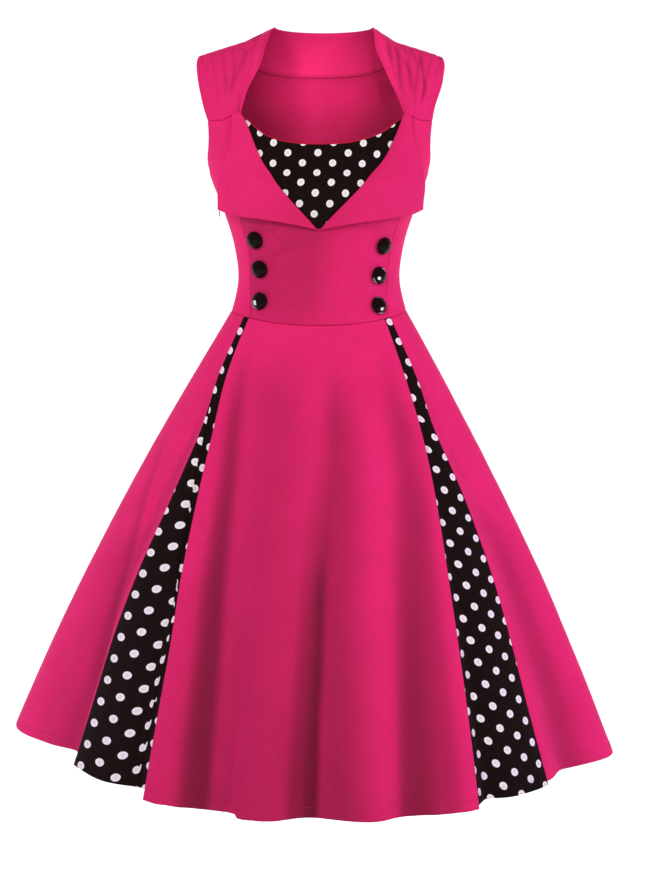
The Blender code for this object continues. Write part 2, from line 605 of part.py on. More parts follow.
def make_skirt():
    for name, first, last, columns, wrap, under, finish in (
        ("skirt_side_right", "side_right", "godet_right", 16, 0.0, (0, 1), PINK),
        ("godet_right", "godet_right", "front_right", 9, 0.0, (0, 1), DOTS),
        ("skirt_front", "front_right", "front_left", 32, 0.0, (0, 0), PINK),
        ("godet_left", "front_left", "godet_left", 9, 0.0, (1, 0), DOTS),
        ("skirt_side_left", "godet_left", "side_left", 16, 0.0, (1, 0), PINK),
        ("skirt_back_left", "side_left", "back", 18, 0.0, (0, 0), PINK),
        ("skirt_back_right", "back", "side_right", 18, 360.0, (0, 0), PINK),
    ):
        grid = skirt_grid(name, first, last, columns, SKIRT_ROWS, wrap, under)
        cloth(name, grid, finish, sides=SEAM if finish is DOTS else SEAM / 2)


# ------------------------------------------------------------------ buttons and zip
def turned(name, profile, steps, finish):
    """A turned piece: the profile is (radius, height) pairs running down its outer side."""
    bm = bmesh.new()
    rim = [bm.verts.new((radius, 0, height)) for radius, height in profile]
    for upper, lower in zip(rim, rim[1:]):
        bm.edges.new((upper, lower))
    mesh = bpy.data.meshes.new(name)
    bm.to_mesh(mesh)
    bm.free()
    made = add_object(name, mesh, finish)
    screw = made.modifiers.new("turn", "SCREW")
    screw.steps = screw.render_steps = steps
    screw.use_merge_vertices = True
    screw.merge_threshold = 0.00001
    return made


def make_buttons():
    """Domed shank buttons, each standing on the midriff under it. Where a button leans, its shank
    is a little shorter, so that its foot stays clear of the cloth."""
    graph = bpy.context.evaluated_depsgraph_get()
    midriff = bpy.data.objects["midriff_front"]
    dome = [
        (BUTTON_RADIUS * math.sin(turn), BUTTON_RIM + BUTTON_DOME * math.cos(turn))
        for turn in np.linspace(0, math.pi / 2, 5)
    ]
    rim = [(BUTTON_RADIUS * share, height) for share, height in BUTTON_BACK]
    for number, row in enumerate(BUTTONS, 1):
        angle, lean = np.radians(row.angle), math.radians(row.lean)
        foot = (SHANK_RADIUS * math.sin(lean) + BUTTON_CLEAR - BUTTON_SHANK) / math.cos(lean)
        shank = [(SHANK_RADIUS, 0.0), (SHANK_RADIUS, foot), (0.0, foot)]
        level = level_at(angle, row.z)
        outside = torso(angle, level) + outward(torso, angle, level) * BUTTON_SHANK
        _, seat, normal, _ = midriff.closest_point_on_mesh(outside, depsgraph=graph)
        made = turned(f"button_{number}", dome + rim + shank, 18, BLACK)
        made.location = seat + normal * BUTTON_SHANK
        made.rotation_mode = "QUATERNION"
        made.rotation_quaternion = Quaternion((0, 0, 1), lean) @ normal.to_track_quat("Z", "Y")


def make_zip_tape():
    """The tape behind the side seam, from under the arm to a hand's length below the waist."""
    angles = np.radians(np.array([-1, 0, 1]) * ZIP_TAPE_HALF_ANGLE - 90.0)[None, :]
    level = side_seam(-1)[1:, 1][:, None] + 0 * angles
    upper = torso(angles + 0 * level, level) - outward(torso, angles + 0 * level, level) * ZIP_TAPE_INSIDE
    down = np.arange(0, ZIP_SKIRT_ROWS + 1)[:, None] / SKIRT_ROWS + 0 * angles
    lower = bell(angles + 0 * down, down) - outward(bell, angles + 0 * down, down) * ZIP_TAPE_INSIDE
    upper[-1] = (upper[-1] + lower[0]) / 2
    cloth("zip_tape", np.concatenate([upper, lower[1:]]), TAPE, ZIP_TAPE_WALL)


def box(name, low, high, finish):
    low, high = Vector(low), Vector(high)
    bm = bmesh.new()
    bmesh.ops.create_cube(bm, size=1)
    for vertex in bm.verts:
        vertex.co = [a + (c + 0.5) * (b - a) for a, b, c in zip(low, high, vertex.co)]
    mesh = bpy.data.meshes.new(name)
    bm.to_mesh(mesh)
    bm.free()
    return add_object(name, mesh, finish)


def make_zip():
    """The slider sits on the side seam. Its bridge holds the crossbar of the pull tab, which hangs
    free and swings about that crossbar."""
    ends = np.array([ZIP_Z - SLIDER_HALF, ZIP_Z + SLIDER_HALF])
    side = np.full(2, -np.pi / 2)
    face = float(torso(side, level_at(side, ends))[:, 0].min()) - SLIDER_CLEAR
    pivot_x = face - SLIDER_BODY - BRIDGE_ROOM / 2
    slider = box(
        "zip_slider",
        (face - SLIDER_BODY, -SLIDER_HALF_WIDTH, ZIP_Z - SLIDER_HALF),
        (face, SLIDER_HALF_WIDTH, ZIP_Z + SLIDER_HALF), BRASS,
    )
    outer = BRIDGE_HALF + BRIDGE_WIRE
    bridge = box(
        "bridge_block",
        (face - SLIDER_BODY - BRIDGE_ROOM - BRIDGE_WIRE, -BRIDGE_HALF_WIDTH, ZIP_Z - outer),
        (face - SLIDER_BODY + BRIDGE_ROOT, BRIDGE_HALF_WIDTH, ZIP_Z + outer), BRASS,
    )
    room = box(
        "bridge_room",
        (face - SLIDER_BODY - BRIDGE_ROOM, -SLIDER_HALF_WIDTH, ZIP_Z - BRIDGE_HALF),
        (face - SLIDER_BODY, SLIDER_HALF_WIDTH, ZIP_Z + BRIDGE_HALF), BRASS,
    )
    for cutter, operation in ((bridge, "UNION"), (room, "DIFFERENCE")):
        cut = slider.modifiers.new(operation.lower(), "BOOLEAN")
        cut.object = cutter
        cut.operation = operation
        cutter.hide_render = True
        cutter.display_type = "WIRE"
        collection.objects.unlink(cutter)
        cutters.objects.link(cutter)

    curve = bpy.data.curves.new("zip_pull", "CURVE")
    curve.dimensions = "2D"
    curve.fill_mode = "BOTH"
    curve.extrude = PULL_WALL / 2
    for points in (PULL_OUTLINE, PULL_WINDOW):
        spline = curve.splines.new("POLY")
        spline.points.add(len(points) - 1)
        spline.use_cyclic_u = True
        for point, (across, up) in zip(spline.points, points):
            point.co = (across, up, 0, 1)
    pull = add_object("zip_pull", curve, BRASS)
    pull.location = (pivot_x, 0, ZIP_Z)
    pull.rotation_euler = (math.pi / 2, 0, math.pi / 2)


cutters = bpy.data.collections.new("cutters")
bpy.context.scene.collection.children.link(cutters)
for side in (-1, 1):
    make_shoulder(side)
    make_side_front(side)
    make_lapel(side)
make_back()
make_neck_band()
make_insert()
make_midriff()
make_skirt()
make_buttons()
make_zip_tape()
make_zip()
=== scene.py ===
"""Looks of the A-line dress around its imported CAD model: cloth, seams, dots, buttons and zip.

Metres, +Z up. The front faces -Y, and +X is the wearer's left. Each cloth piece is rebuilt from the
outer face of its CAD node as a fine, thin, closed sheet with its own folds, seams and hems.
"""

from collections import defaultdict, namedtuple
import math

import bmesh
import bpy
import numpy as np
from mathutils import Euler, Matrix, Vector


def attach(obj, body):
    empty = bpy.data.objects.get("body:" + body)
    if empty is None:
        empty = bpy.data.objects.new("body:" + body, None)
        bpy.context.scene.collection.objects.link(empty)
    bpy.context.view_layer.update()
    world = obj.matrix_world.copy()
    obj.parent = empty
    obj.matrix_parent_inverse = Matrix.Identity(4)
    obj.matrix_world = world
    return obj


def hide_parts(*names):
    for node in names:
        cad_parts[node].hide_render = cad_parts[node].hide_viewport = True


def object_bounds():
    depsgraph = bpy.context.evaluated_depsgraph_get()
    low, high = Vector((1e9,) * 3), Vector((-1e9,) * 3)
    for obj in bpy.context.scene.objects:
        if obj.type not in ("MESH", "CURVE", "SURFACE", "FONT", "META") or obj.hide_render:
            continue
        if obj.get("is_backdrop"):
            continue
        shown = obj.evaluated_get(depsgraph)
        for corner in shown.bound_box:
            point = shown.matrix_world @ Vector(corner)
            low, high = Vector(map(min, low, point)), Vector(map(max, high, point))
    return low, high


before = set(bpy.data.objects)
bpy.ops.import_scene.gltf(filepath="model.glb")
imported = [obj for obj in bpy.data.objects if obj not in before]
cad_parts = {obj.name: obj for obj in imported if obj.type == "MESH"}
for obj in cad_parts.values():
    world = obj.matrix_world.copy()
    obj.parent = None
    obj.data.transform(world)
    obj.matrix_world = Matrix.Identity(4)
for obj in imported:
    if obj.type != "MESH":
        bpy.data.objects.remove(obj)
cad_box = [list(corner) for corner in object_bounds()]
scene = bpy.context.scene

# ------------ numbers, metres
WALL = 0.0010              # one layer of the cotton
LAPEL_WALL = 0.0022        # a lapel is folded over, two layers
TAPE_WALL = 0.0008
ALLOWANCE = 0.009          # turned-in cloth along a seam, seen from inside
ALLOWANCE_WALL = 0.0005
HEM_FOLD = 0.013           # height of the hem's fold
NOTCH = 0.0045             # step in the front panel's hem
NOTCH_ACROSS = 0.304
STITCH_LENGTH = 0.0026
STITCH_GAP = 0.0009
THREAD = 0.00022           # radius of the sewing thread
STITCH_LIFT = 0.0001
EDGE_STEPS = (0.0003, 0.0007, 0.0012, 0.0019, 0.0030)      # where the extra points beside an edge lie
DOT_ACROSS = 0.0450        # repeat of the dots across and down, each with a second dot half way
DOT_DOWN = 0.0300
DOT_RADIUS = 0.0053
NOISE_CELLS = 97           # the noise repeats after this many bumps

PINK = (0.835, 0.0232, 0.160, 1)
PINK_SHADE = (0.775, 0.0215, 0.148, 1)
PINK_LIGHT = (0.92, 0.0300, 0.190, 1)
# The next two pinks are painted shade: one along every edge and seam, one in folds and shaded parts.
PINK_EDGE_SHADE = (0.50, 0.0060, 0.030, 1)
PINK_PAINTED_SHADE = (0.085, 0.0100, 0.016, 1)
BROWN = (0.0080, 0.0036, 0.0032, 1)
BROWN_YARN = (0.017, 0.0080, 0.0068, 1)
DOT_RIM = (0.93, 0.91, 0.88, 1)
DOT_MIDDLE = (0.80, 0.73, 0.73, 1)
WHITE = (1, 1, 1, 1)


# ------------ the CAD sheets as grids
def unit(vectors):
    return vectors / np.linalg.norm(vectors, axis=-1, keepdims=True)


def welded(node):
    """Vertices and triangles of a CAD node, with the vertices that its faces share joined."""
    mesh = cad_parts[node].data
    points = np.empty(len(mesh.vertices) * 3, np.float32)
    mesh.vertices.foreach_get("co", points)
    mesh.calc_loop_triangles()
    corners = np.empty(len(mesh.loop_triangles) * 3, np.int32)
    mesh.loop_triangles.foreach_get("vertices", corners)
    rounded = np.round(points.reshape(-1, 3).astype(float), 5)
    joined, index = np.unique(rounded, axis=0, return_inverse=True)
    return joined, index.reshape(-1)[corners].reshape(-1, 3)


def outer_face(points, triangles, count):
    """The count triangles of the outer face, a smooth patch that looks away from the body. Its rim
    meets it at a corner, and how sharp that is differs, so several limits are tried."""
    for limit in np.arange(0.40, 0.90, 0.02):
        found = smooth_patch(points, triangles, limit)
        if len(found) == count:
            return found
    raise RuntimeError(f"no outer face of {count} triangles")


def smooth_patch(points, triangles, limit):
    """The largest patch that looks away from the body. Two triangles that share an edge are in one
    patch when the product of their normals is over the limit."""
    a, b, c = (points[triangles[:, k]] for k in range(3))
    normal = unit(np.cross(b - a, c - a))
    edges = np.sort(np.concatenate([triangles[:, pair] for pair in ([0, 1], [1, 2], [2, 0])]), axis=1)
    owner = np.tile(np.arange(len(triangles)), 3)
    pairs = owner[np.lexsort(edges.T)].reshape(-1, 2)
    pairs = pairs[(normal[pairs[:, 0]] * normal[pairs[:, 1]]).sum(axis=1) > limit]
    label = np.arange(len(triangles))
    while True:
        lowest = label[pairs].min(axis=1)
        spread = label.copy()
        np.minimum.at(spread, pairs[:, 0], lowest)
        np.minimum.at(spread, pairs[:, 1], lowest)
        spread = spread[spread]
        if (spread == label).all():
            break
        label = spread
    middle = (a + b + c) / 3
    away = (normal * (middle * (1, 1, 0) + (0, 0, 0.05))).sum(axis=1)
    found = [k for k in np.unique(label) if away[label == k].mean() > 0]
    return triangles[label == max(found, key=lambda k: (label == k).sum())]


def rows_of(ring, near, rows, columns):
    """Vertex numbers of a grid whose outline is ring, from its top left corner anticlockwise."""
    ring = ring + ring[:1]
    grid = np.full((rows + 1, columns + 1), -1)
    grid[:, 0] = ring[: rows + 1]
    grid[rows] = ring[rows : rows + columns + 1]
    grid[::-1, columns] = ring[rows + columns : 2 * rows + columns + 1]
    grid[0, ::-1] = ring[2 * rows + columns :]
    used = set(ring)
    for i in range(rows - 1):
        for j in range(columns - 1):
            found = (near[grid[i + 1, j]] & near[grid[i, j + 1]]) - used
            if len(found) != 1:
                return None
            grid[i + 1, j + 1] = found.pop()
            used.add(grid[i + 1, j + 1])
    return grid


def cad_grid(node, rows, columns):
    """The outer face of a CAD sheet as points [row][column], from the top, and seen from outside
    from the left."""
    points, triangles = welded(node)
    near, directed = defaultdict(set), set()
    for triangle in outer_face(points, triangles, 2 * rows * columns).tolist():
        for p, q in zip(triangle, triangle[1:] + triangle[:1]):
            near[p].add(q)
            near[q].add(p)
            directed.add((p, q))
    following = {p: q for p, q in directed if (q, p) not in directed}
    loop = [min(following)]
    while len(loop) < len(following):
        loop.append(following[loop[-1]])
    along = unit(np.roll(points[loop], -1, axis=0) - points[loop])
    turn = 1 - (along * np.roll(along, 1, axis=0)).sum(axis=1)
    corners = np.array([0, rows, rows + columns, 2 * rows + columns])
    scores = [turn[(start + corners) % len(loop)].sum() for start in range(len(loop))]
    for start in np.argsort(scores)[::-1]:
        ring = loop[start:] + loop[:start]
        side = points[ring]
        higher = side[2 * rows + columns :, 2].mean() > side[rows : rows + columns, 2].mean()
        grid = rows_of(ring, near, rows, columns) if higher else None
        if grid is not None:
            return points[grid]
    raise RuntimeError(f"{node} isn't a grid of {rows} by {columns}")


# ------------ fine sheets
def spline(count, at):
    """Weights of count + 1 points for a natural cubic spline through them, one row for each at."""
    bend, system, one = np.zeros((count + 1, count + 1)), np.eye(count + 1), np.eye(count + 1)
    for i in range(1, count):
        system[i, i - 1 : i + 2] = (1, 4, 1)
        bend[i, i - 1 : i + 2] = (6, -12, 6)
    bend = np.linalg.solve(system, bend)
    i = np.clip(at.astype(int), 0, count - 1)
    s = (at - i)[:, None]
    r = 1 - s
    return r * one[i] + s * one[i + 1] + (r**3 - r) / 6 * bend[i] + (s**3 - s) / 6 * bend[i + 1]


def steps(count, length, cell):
    """Parameters from 0 to count, about cell metres apart, and closer near both ends."""
    even = np.linspace(0, count, max(count, round(length / cell)) + 1)
    near = np.array(EDGE_STEPS) * count / length
    inner = even[(even > near[-1] * 1.3) & (even < count - near[-1] * 1.3)]
    return np.concatenate([[0], near, inner, (count - near)[::-1], [count]])


def run(points, axis):
    """Distance of each point along its row or column of the grid, from that row's start."""
    step = np.linalg.norm(np.diff(points, axis=axis), axis=-1)
    start = np.zeros_like(np.take(step, [0], axis=axis))
    return np.cumsum(np.concatenate([start, step], axis=axis), axis=axis)


def noise(u, v, scale, seed):
    """Smooth value noise from -1 to 1, with bumps about scale metres apart."""
    table = np.random.default_rng(seed).uniform(-1, 1, (NOISE_CELLS, NOISE_CELLS))
    x, y = u / scale, v / scale
    i, j = np.floor(x).astype(int), np.floor(y).astype(int)
    s, t = x - i, y - j
    s, t = s**3 * (s * (6 * s - 15) + 10), t**3 * (t * (6 * t - 15) + 10)
    corner = lambda right, down: table[(i + right) % NOISE_CELLS, (j + down) % NOISE_CELLS]
    here = corner(0, 0) * (1 - s) + corner(1, 0) * s
    below = corner(0, 1) * (1 - s) + corner(1, 1) * s
    return here * (1 - t) + below * t


def bump(distance, width):
    """1 at distance 0, and fading to 0 on both sides over about width."""
    return np.exp(-((distance / width) ** 2))


def step_down(distance, where, width):
    """1 below a distance, 0 beyond it, with a soft step width wide."""
    return 1 / (1 + np.exp(np.clip((distance - where) / width * 4, -30, 30)))


class Sheet:
    """A fine sheet over a piece's CAD node, with its edges pushed out a little."""

    def __init__(self, piece):
        coarse = cad_grid(piece.node, piece.rows, piece.columns)
        top, right, bottom, left = piece.push or [PUSHES[kind] for kind in piece.edges.split()]
        sides = coarse.swapaxes(0, 1)
        for view, edge, inner, move in (
            (coarse, 0, 1, top), (coarse, -1, -2, bottom), (sides, 0, 1, left), (sides, -1, -2, right)
        ):
            view[edge] += unit(view[edge] - view[inner]) * move
        down_at = steps(piece.rows, run(coarse, 0)[-1].max(), piece.cell)
        across_at = steps(piece.columns, run(coarse, 1)[:, -1].max(), piece.cell)
        fine = np.einsum("ia,abk->ibk", spline(piece.rows, down_at), coarse)
        self.points = np.einsum("jb,ibk->ijk", spline(piece.columns, across_at), fine)
        self.node = piece.node
        self.measure()
        self.across = (across_at / piece.columns)[None, :] + 0 * self.u
        self.down = (down_at / piece.rows)[:, None] + 0 * self.u

    def measure(self):
        """Normals, the distances of each point from the four edges, and its place (u, v) on the flat
        cloth."""
        normal = np.cross(np.gradient(self.points, axis=0), np.gradient(self.points, axis=1))
        self.normal = normal / np.maximum(np.linalg.norm(normal, axis=-1, keepdims=True), 1e-12)
        self.left, self.top = run(self.points, 1), run(self.points, 0)
        self.right = self.left[:, -1:] - self.left
        self.bottom = self.top[-1:] - self.top
        self.edge = np.minimum.reduce([self.left, self.right, self.top, self.bottom])
        middle = self.points.shape[1] // 2
        self.u = self.left - self.left[:, middle : middle + 1]
        self.v = self.top[:, middle : middle + 1] + 0 * self.u

    def moved(self, lift):
        """Moves the sheet itself out by lift."""
        self.points = self.points + self.normal * lift[..., None]
        self.measure()


def hollow(sheet, reach):
    """How deep each point lies in a fold that runs down the piece: its depth below the average of
    its row within reach."""
    gap = (sheet.left[:, :, None] - sheet.left[:, None, :]) / reach
    weight = np.exp(-(gap**2)) * np.gradient(sheet.left, axis=1)[:, None, :]
    weight /= weight.sum(axis=2, keepdims=True)
    average = np.einsum("ijk,ikx->ijx", weight, sheet.points)
    return ((average - sheet.points) * sheet.normal).sum(axis=-1)


def placed(name, data, finish=None, body=None):
    """A new object in the scene. A mesh gets its material here, and rides on a body of the part."""
    if finish:
        data.materials.append(finish)
    thing = bpy.data.objects.new(name, data)
    scene.collection.objects.link(thing)
    if body:
        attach(thing, body)
    return thing


def smooth_mesh(name, points, faces):
    mesh = bpy.data.meshes.new(name)
    mesh.from_pydata(points.tolist(), [], faces.tolist())
    mesh.validate()
    mesh.shade_smooth()
    return mesh


def fabric(name, sheet, wall, finish, lift, extra, shade, shade_inside):
    """A closed cloth mesh: the outer face is the sheet moved out by lift, and the inner face lies
    wall + extra behind it. shade is 1 on open cloth and less in the depth of a fold."""
    normal = sheet.normal
    outer = sheet.points + normal * lift[..., None]
    half = wall / 2
    inset = np.clip(1 - sheet.edge / half, 0, 1)
    rounding = half * 0.85 * (1 - np.sqrt(1 - inset**2))
    outer = outer - normal * rounding[..., None]
    inner = outer - normal * (wall + extra - 2 * rounding)[..., None]
    rows, columns = outer.shape[:2]
    number = np.arange(rows * columns).reshape(rows, columns)
    quads = np.stack([number[:-1, :-1], number[1:, :-1], number[1:, 1:], number[:-1, 1:]], axis=-1)
    quads = quads.reshape(-1, 4)
    ring = np.concatenate([number[:, 0], number[-1, 1:], number[-2::-1, -1], number[0, -2:0:-1]])
    after = np.roll(ring, -1)
    total = rows * columns
    rim = np.stack([ring, ring + total, after + total, after], axis=-1)
    faces = np.concatenate([quads, quads[:, ::-1] + total, rim])
    places = np.concatenate([outer.reshape(-1, 3), inner.reshape(-1, 3)])
    mesh = smooth_mesh(name, places, faces)
    flat = np.stack([sheet.u, sheet.v], axis=-1).reshape(-1, 2)
    flat = np.concatenate([flat, flat])[faces.ravel()]
    mesh.uv_layers.new(name="cloth").data.foreach_set("uv", flat.astype(np.float32).ravel())
    for key, outside, inside in (("edge", sheet.edge, sheet.edge), ("shade", shade, shade_inside)):
        values = np.concatenate([outside.ravel(), inside.ravel()]).astype(np.float32)
        mesh.attributes.new(key, "FLOAT", "POINT").data.foreach_set("value", values)
    return placed(name, mesh, finish, "dress")


# ------------ materials
class Nodes:
    """Adds and joins the shader nodes of a material or of the world."""

    def __init__(self, holder, shader="Principled BSDF"):
        holder.use_nodes = True
        self.holder = holder
        self.tree = holder.node_tree
        self.shader = self.tree.nodes[shader]

    def feed(self, node, inputs):
        """Joins each input to a socket or sets its value. It goes by its name, or as _0 by its number."""
        for key, value in inputs.items():
            socket = node.inputs[int(key[1:]) if key[0] == "_" else key.replace("_", " ")]
            if isinstance(value, bpy.types.NodeSocket):
                self.tree.links.new(value, socket)
            else:
                socket.default_value = value

    def into(self, **inputs):
        """Feeds the shader itself."""
        self.feed(self.shader, inputs)

    def add(self, kind, settings=(), **inputs):
        node = self.tree.nodes.new(kind)
        for key, value in dict(settings).items():
            setattr(node, key, value)
        self.feed(node, inputs)
        return node

    def math(self, operation, *values, kind="ShaderNodeMath", output=0):
        inputs = {f"_{k}": value for k, value in enumerate(values)}
        return self.add(kind, {"operation": operation}, **inputs).outputs[output]

    def vector(self, operation, *values, output=0):
        """Vector maths. Output 1 is the number that LENGTH gives."""
        return self.math(operation, *values, kind="ShaderNodeVectorMath", output=output)

    def coordinates(self, key):
        return self.add("ShaderNodeTexCoord").outputs[key]

    def noise(self, place, scale, detail):
        return self.add("ShaderNodeTexNoise", Vector=place, Scale=scale, Detail=detail).outputs[0]

    def stored(self, name):
        """A value that fabric() stores at each point."""
        return self.add("ShaderNodeAttribute", {"attribute_name": name}).outputs[2]

    def relief(self, strength, distance, height):
        return self.add("ShaderNodeBump", Strength=strength, Distance=distance, Height=height).outputs[0]

    def mix(self, share, one, two):
        """A colour mix: one where the share is 0, two where it is 1."""
        return self.add("ShaderNodeMix", {"data_type": "RGBA"}, _0=share, _6=one, _7=two).outputs[2]

    def range(self, value, low, high, to_low, to_high):
        """A smooth step from to_low to to_high, as the value goes from low to high."""
        ends = {"From_Min": low, "From_Max": high, "To_Min": to_low, "To_Max": to_high}
        smooth = {"interpolation_type": "SMOOTHSTEP"}
        return self.add("ShaderNodeMapRange", smooth, Value=value, **ends).outputs[0]


def weave(nodes, place):
    """Height of a plain weave, and the slubs and unevenness of its yarns, from cloth coordinates."""
    split = nodes.add("ShaderNodeSeparateXYZ", Vector=nodes.vector("MULTIPLY", place, (1600.0, 1600.0, 0)))
    warp, weft = (nodes.math("SINE", nodes.math("MULTIPLY", split.outputs[k], math.pi)) for k in (0, 1))
    stretches = ((90.0, 900.0, 1.0), (900.0, 90.0, 1.0))
    slubs = [nodes.noise(nodes.vector("MULTIPLY", place, stretch), 1.0, 2.0) for stretch in stretches]
    return nodes.math("MULTIPLY", warp, weft), nodes.math("ADD", *slubs)


def cotton(name, colour):
    """Printed or dyed cotton. colour is a function that makes its colour socket."""
    nodes = Nodes(bpy.data.materials.new(name))
    place = nodes.add("ShaderNodeUVMap", {"uv_map": "cloth"}).outputs[0]
    threads, uneven = weave(nodes, place)
    height = nodes.math("ADD", nodes.math("MULTIPLY", threads, 0.35), uneven)
    height = nodes.math("ADD", height, nodes.math("MULTIPLY", nodes.noise(place, 70.0, 4.0), 3.0))
    nodes.into(Base_Color=colour(nodes, place, uneven), Normal=nodes.relief(0.35, 0.00018, height))
    nodes.into(Roughness=0.82, Specular_IOR_Level=0.12)
    return nodes.holder


def pink_colour(nodes, place, uneven):
    """Dyed pink, a little cloudy, with lighter yarns, and painted shade along every edge and seam and
    wherever the stored shade is low.
    """
    cloudy = nodes.range(nodes.noise(place, 14.0, 3.0), 0.35, 0.68, 0.0, 1.0)
    base = nodes.mix(cloudy, PINK_SHADE, PINK)
    base = nodes.mix(nodes.range(uneven, 0.78, 1.30, 0.0, 0.50), base, PINK_LIGHT)
    # Painted shade: within 1.4 mm of every cloth edge the pink darkens and reddens, where seams and folded
    # edges are shaded.
    edge_shade = nodes.math("MULTIPLY", nodes.range(nodes.stored("edge"), 0.0, 0.0014, 1.0, 0.0), 0.55)
    # Painted shade: where the stored shade is low, in folds, hollows and broadly shaded parts, the pink
    # darkens to deep red.
    return nodes.mix(nodes.stored("shade"), PINK_PAINTED_SHADE, nodes.mix(edge_shade, base, PINK_EDGE_SHADE))


def dot_distance(nodes, place, shift):
    """Distance from the nearest dot of the lattice that starts shift repeats from the origin."""
    cell = nodes.vector("MULTIPLY_ADD", place, (1 / DOT_ACROSS, 1 / DOT_DOWN, 0), (shift, shift, 0))
    cell = nodes.vector("SUBTRACT", nodes.vector("FRACTION", cell), (0.5, 0.5, 0))
    return nodes.vector("LENGTH", nodes.vector("MULTIPLY", cell, (DOT_ACROSS, DOT_DOWN, 0)), output=1)


def dotted_colour(nodes, place, uneven):
    """White dots with a slightly ragged rim, printed on dark brown."""
    ragged = nodes.math("SUBTRACT", nodes.noise(place, 900.0, 2.0), 0.5)
    distance = nodes.math("MINIMUM", dot_distance(nodes, place, 0.0), dot_distance(nodes, place, 0.5))
    distance = nodes.math("ADD", distance, nodes.math("MULTIPLY", ragged, 0.0006))
    ground = nodes.mix(nodes.range(uneven, 0.75, 1.35, 0.0, 0.8), BROWN, BROWN_YARN)
    white = nodes.mix(nodes.range(distance, 0.0, DOT_RADIUS * 0.85, 1.0, 0.0), DOT_RIM, DOT_MIDDLE)
    share = nodes.range(distance, DOT_RADIUS - 0.0003, DOT_RADIUS + 0.0003, 1.0, 0.0)
    return nodes.mix(share, ground, white)


def plain(name, colour, roughness, grain, relief, metallic=0.0, specular=0.5):
    """A hard or thread material with fine grain in its colour, roughness and relief."""
    nodes = Nodes(bpy.data.materials.new(name))
    grains = nodes.noise(nodes.coordinates("Object"), grain, 4.0)
    darker = tuple(part * 0.72 for part in colour)
    nodes.into(
        Base_Color=nodes.mix(nodes.range(grains, 0.35, 0.65, 0.0, 1.0), (*darker, 1), (*colour, 1)),
        Roughness=nodes.range(grains, 0.3, 0.7, roughness * 0.85, roughness * 1.2),
        Normal=nodes.relief(0.3, relief, grains),
        Metallic=metallic,
        Specular_IOR_Level=specular,
    )
    return nodes.holder


pink = cotton("pink_cotton", pink_colour)
dotted = cotton("dotted_cotton", dotted_colour)
button_black = plain("button_black", (0.0110, 0.0040, 0.0036), 0.10, 90.0, 0.000004, specular=0.12)
brass = plain("zip_brass", (0.36, 0.19, 0.075), 0.34, 900.0, 0.00002, metallic=1.0)
tape_pink = plain("zip_tape", (0.50, 0.020, 0.095), 0.85, 1500.0, 0.0001)
thread_pink = plain("thread_pink", (0.72, 0.022, 0.125), 0.7, 2500.0, 0.00005)
thread_dark = plain("thread_dark", (0.02, 0.008, 0.008), 0.7, 2500.0, 0.00005)
piping_red = plain("piping_red", (0.62, 0.008, 0.035), 0.75, 2000.0, 0.00005)

# ------------ cloth pieces
# The CAD face of a piece is a grid of rows and columns, and cell is the size of the fine cells over
# it. edges says how the top, right, bottom and left edge are finished: sewn to a neighbour, a turned
# free edge, a folded hem, or tucked under the next piece. flat, area and held are the cut of its
# cloth. push is how far each edge is moved out, where it isn't as PUSHES says.
Piece = namedtuple("Piece", "node rows columns cell edges flat area held push", defaults=("hung", None))
SEAM = 0.0003
PUSHES = {"sewn": SEAM, "free": SEAM, "hem": 0, "under": 0}
GODET_OUT = (SEAM, 0.0006, 0, 0.0006)
TOP_OUT = (0.0007, SEAM, SEAM, SEAM)
BAND_OUT = (SEAM, SEAM, 0.0016, SEAM)
PIECES = (
    Piece("skirt_front", 13, 32, 0.0035, "sewn sewn hem sewn", (0.56, 0.68), 0.255, "gathered"),
    Piece("skirt_side_right", 13, 16, 0.0042, "sewn under hem sewn", (0.29, 0.68), 0.120),
    Piece("skirt_side_left", 13, 16, 0.0042, "sewn sewn hem under", (0.31, 0.68), 0.135),
    Piece("skirt_back_left", 13, 18, 0.0054, "sewn sewn hem sewn", (0.62, 0.68), 0.290),
    Piece("skirt_back_right", 13, 18, 0.0054, "sewn sewn hem sewn", (0.66, 0.68), 0.300),
    Piece("godet_right", 13, 9, 0.0032, "sewn under hem under", (0.18, 0.68), 0.060, push=GODET_OUT),
    Piece("godet_left", 13, 9, 0.0032, "sewn under hem under", (0.17, 0.68), 0.055, push=GODET_OUT),
    Piece("bodice_back", 13, 22, 0.0036, "sewn sewn sewn sewn", (0.41, 0.40), 0.131, push=TOP_OUT),
    Piece("back_neck_band", 4, 14, 0.0022, "free sewn sewn sewn", (0.29, 0.062), 0.0167, push=BAND_OUT),
    Piece("shoulder_right", 9, 25, 0.0013, "sewn free sewn free", (0.125, 0.115), 0.0119, "gathered",
          TOP_OUT),
    Piece("shoulder_left", 9, 25, 0.0013, "sewn free sewn free", (0.125, 0.115), 0.0115, "gathered",
          TOP_OUT),
    Piece("side_front_right", 13, 7, 0.0025, "sewn sewn sewn free", (0.10, 0.29), 0.0193),
    Piece("side_front_left", 13, 7, 0.0025, "sewn free sewn sewn", (0.10, 0.29), 0.0187),
    Piece("bust_insert", 6, 14, 0.0021, "free sewn sewn sewn", (0.30, 0.18), 0.0299),
    Piece("midriff_front", 7, 14, 0.0025, "sewn sewn sewn sewn", (0.25, 0.175), 0.0353),
    Piece("lapel_right", 10, 10, 0.0017, "sewn free free free", (0.14, 0.17), 0.0120, "folded"),
    Piece("lapel_left", 10, 10, 0.0017, "sewn free free free", (0.14, 0.17), 0.0120, "folded"),
    Piece("zip_tape", 8, 2, 0.0030, "free free free free", (0.04, 0.30), 0.0090, push=(0, 0, 0, 0)),
)
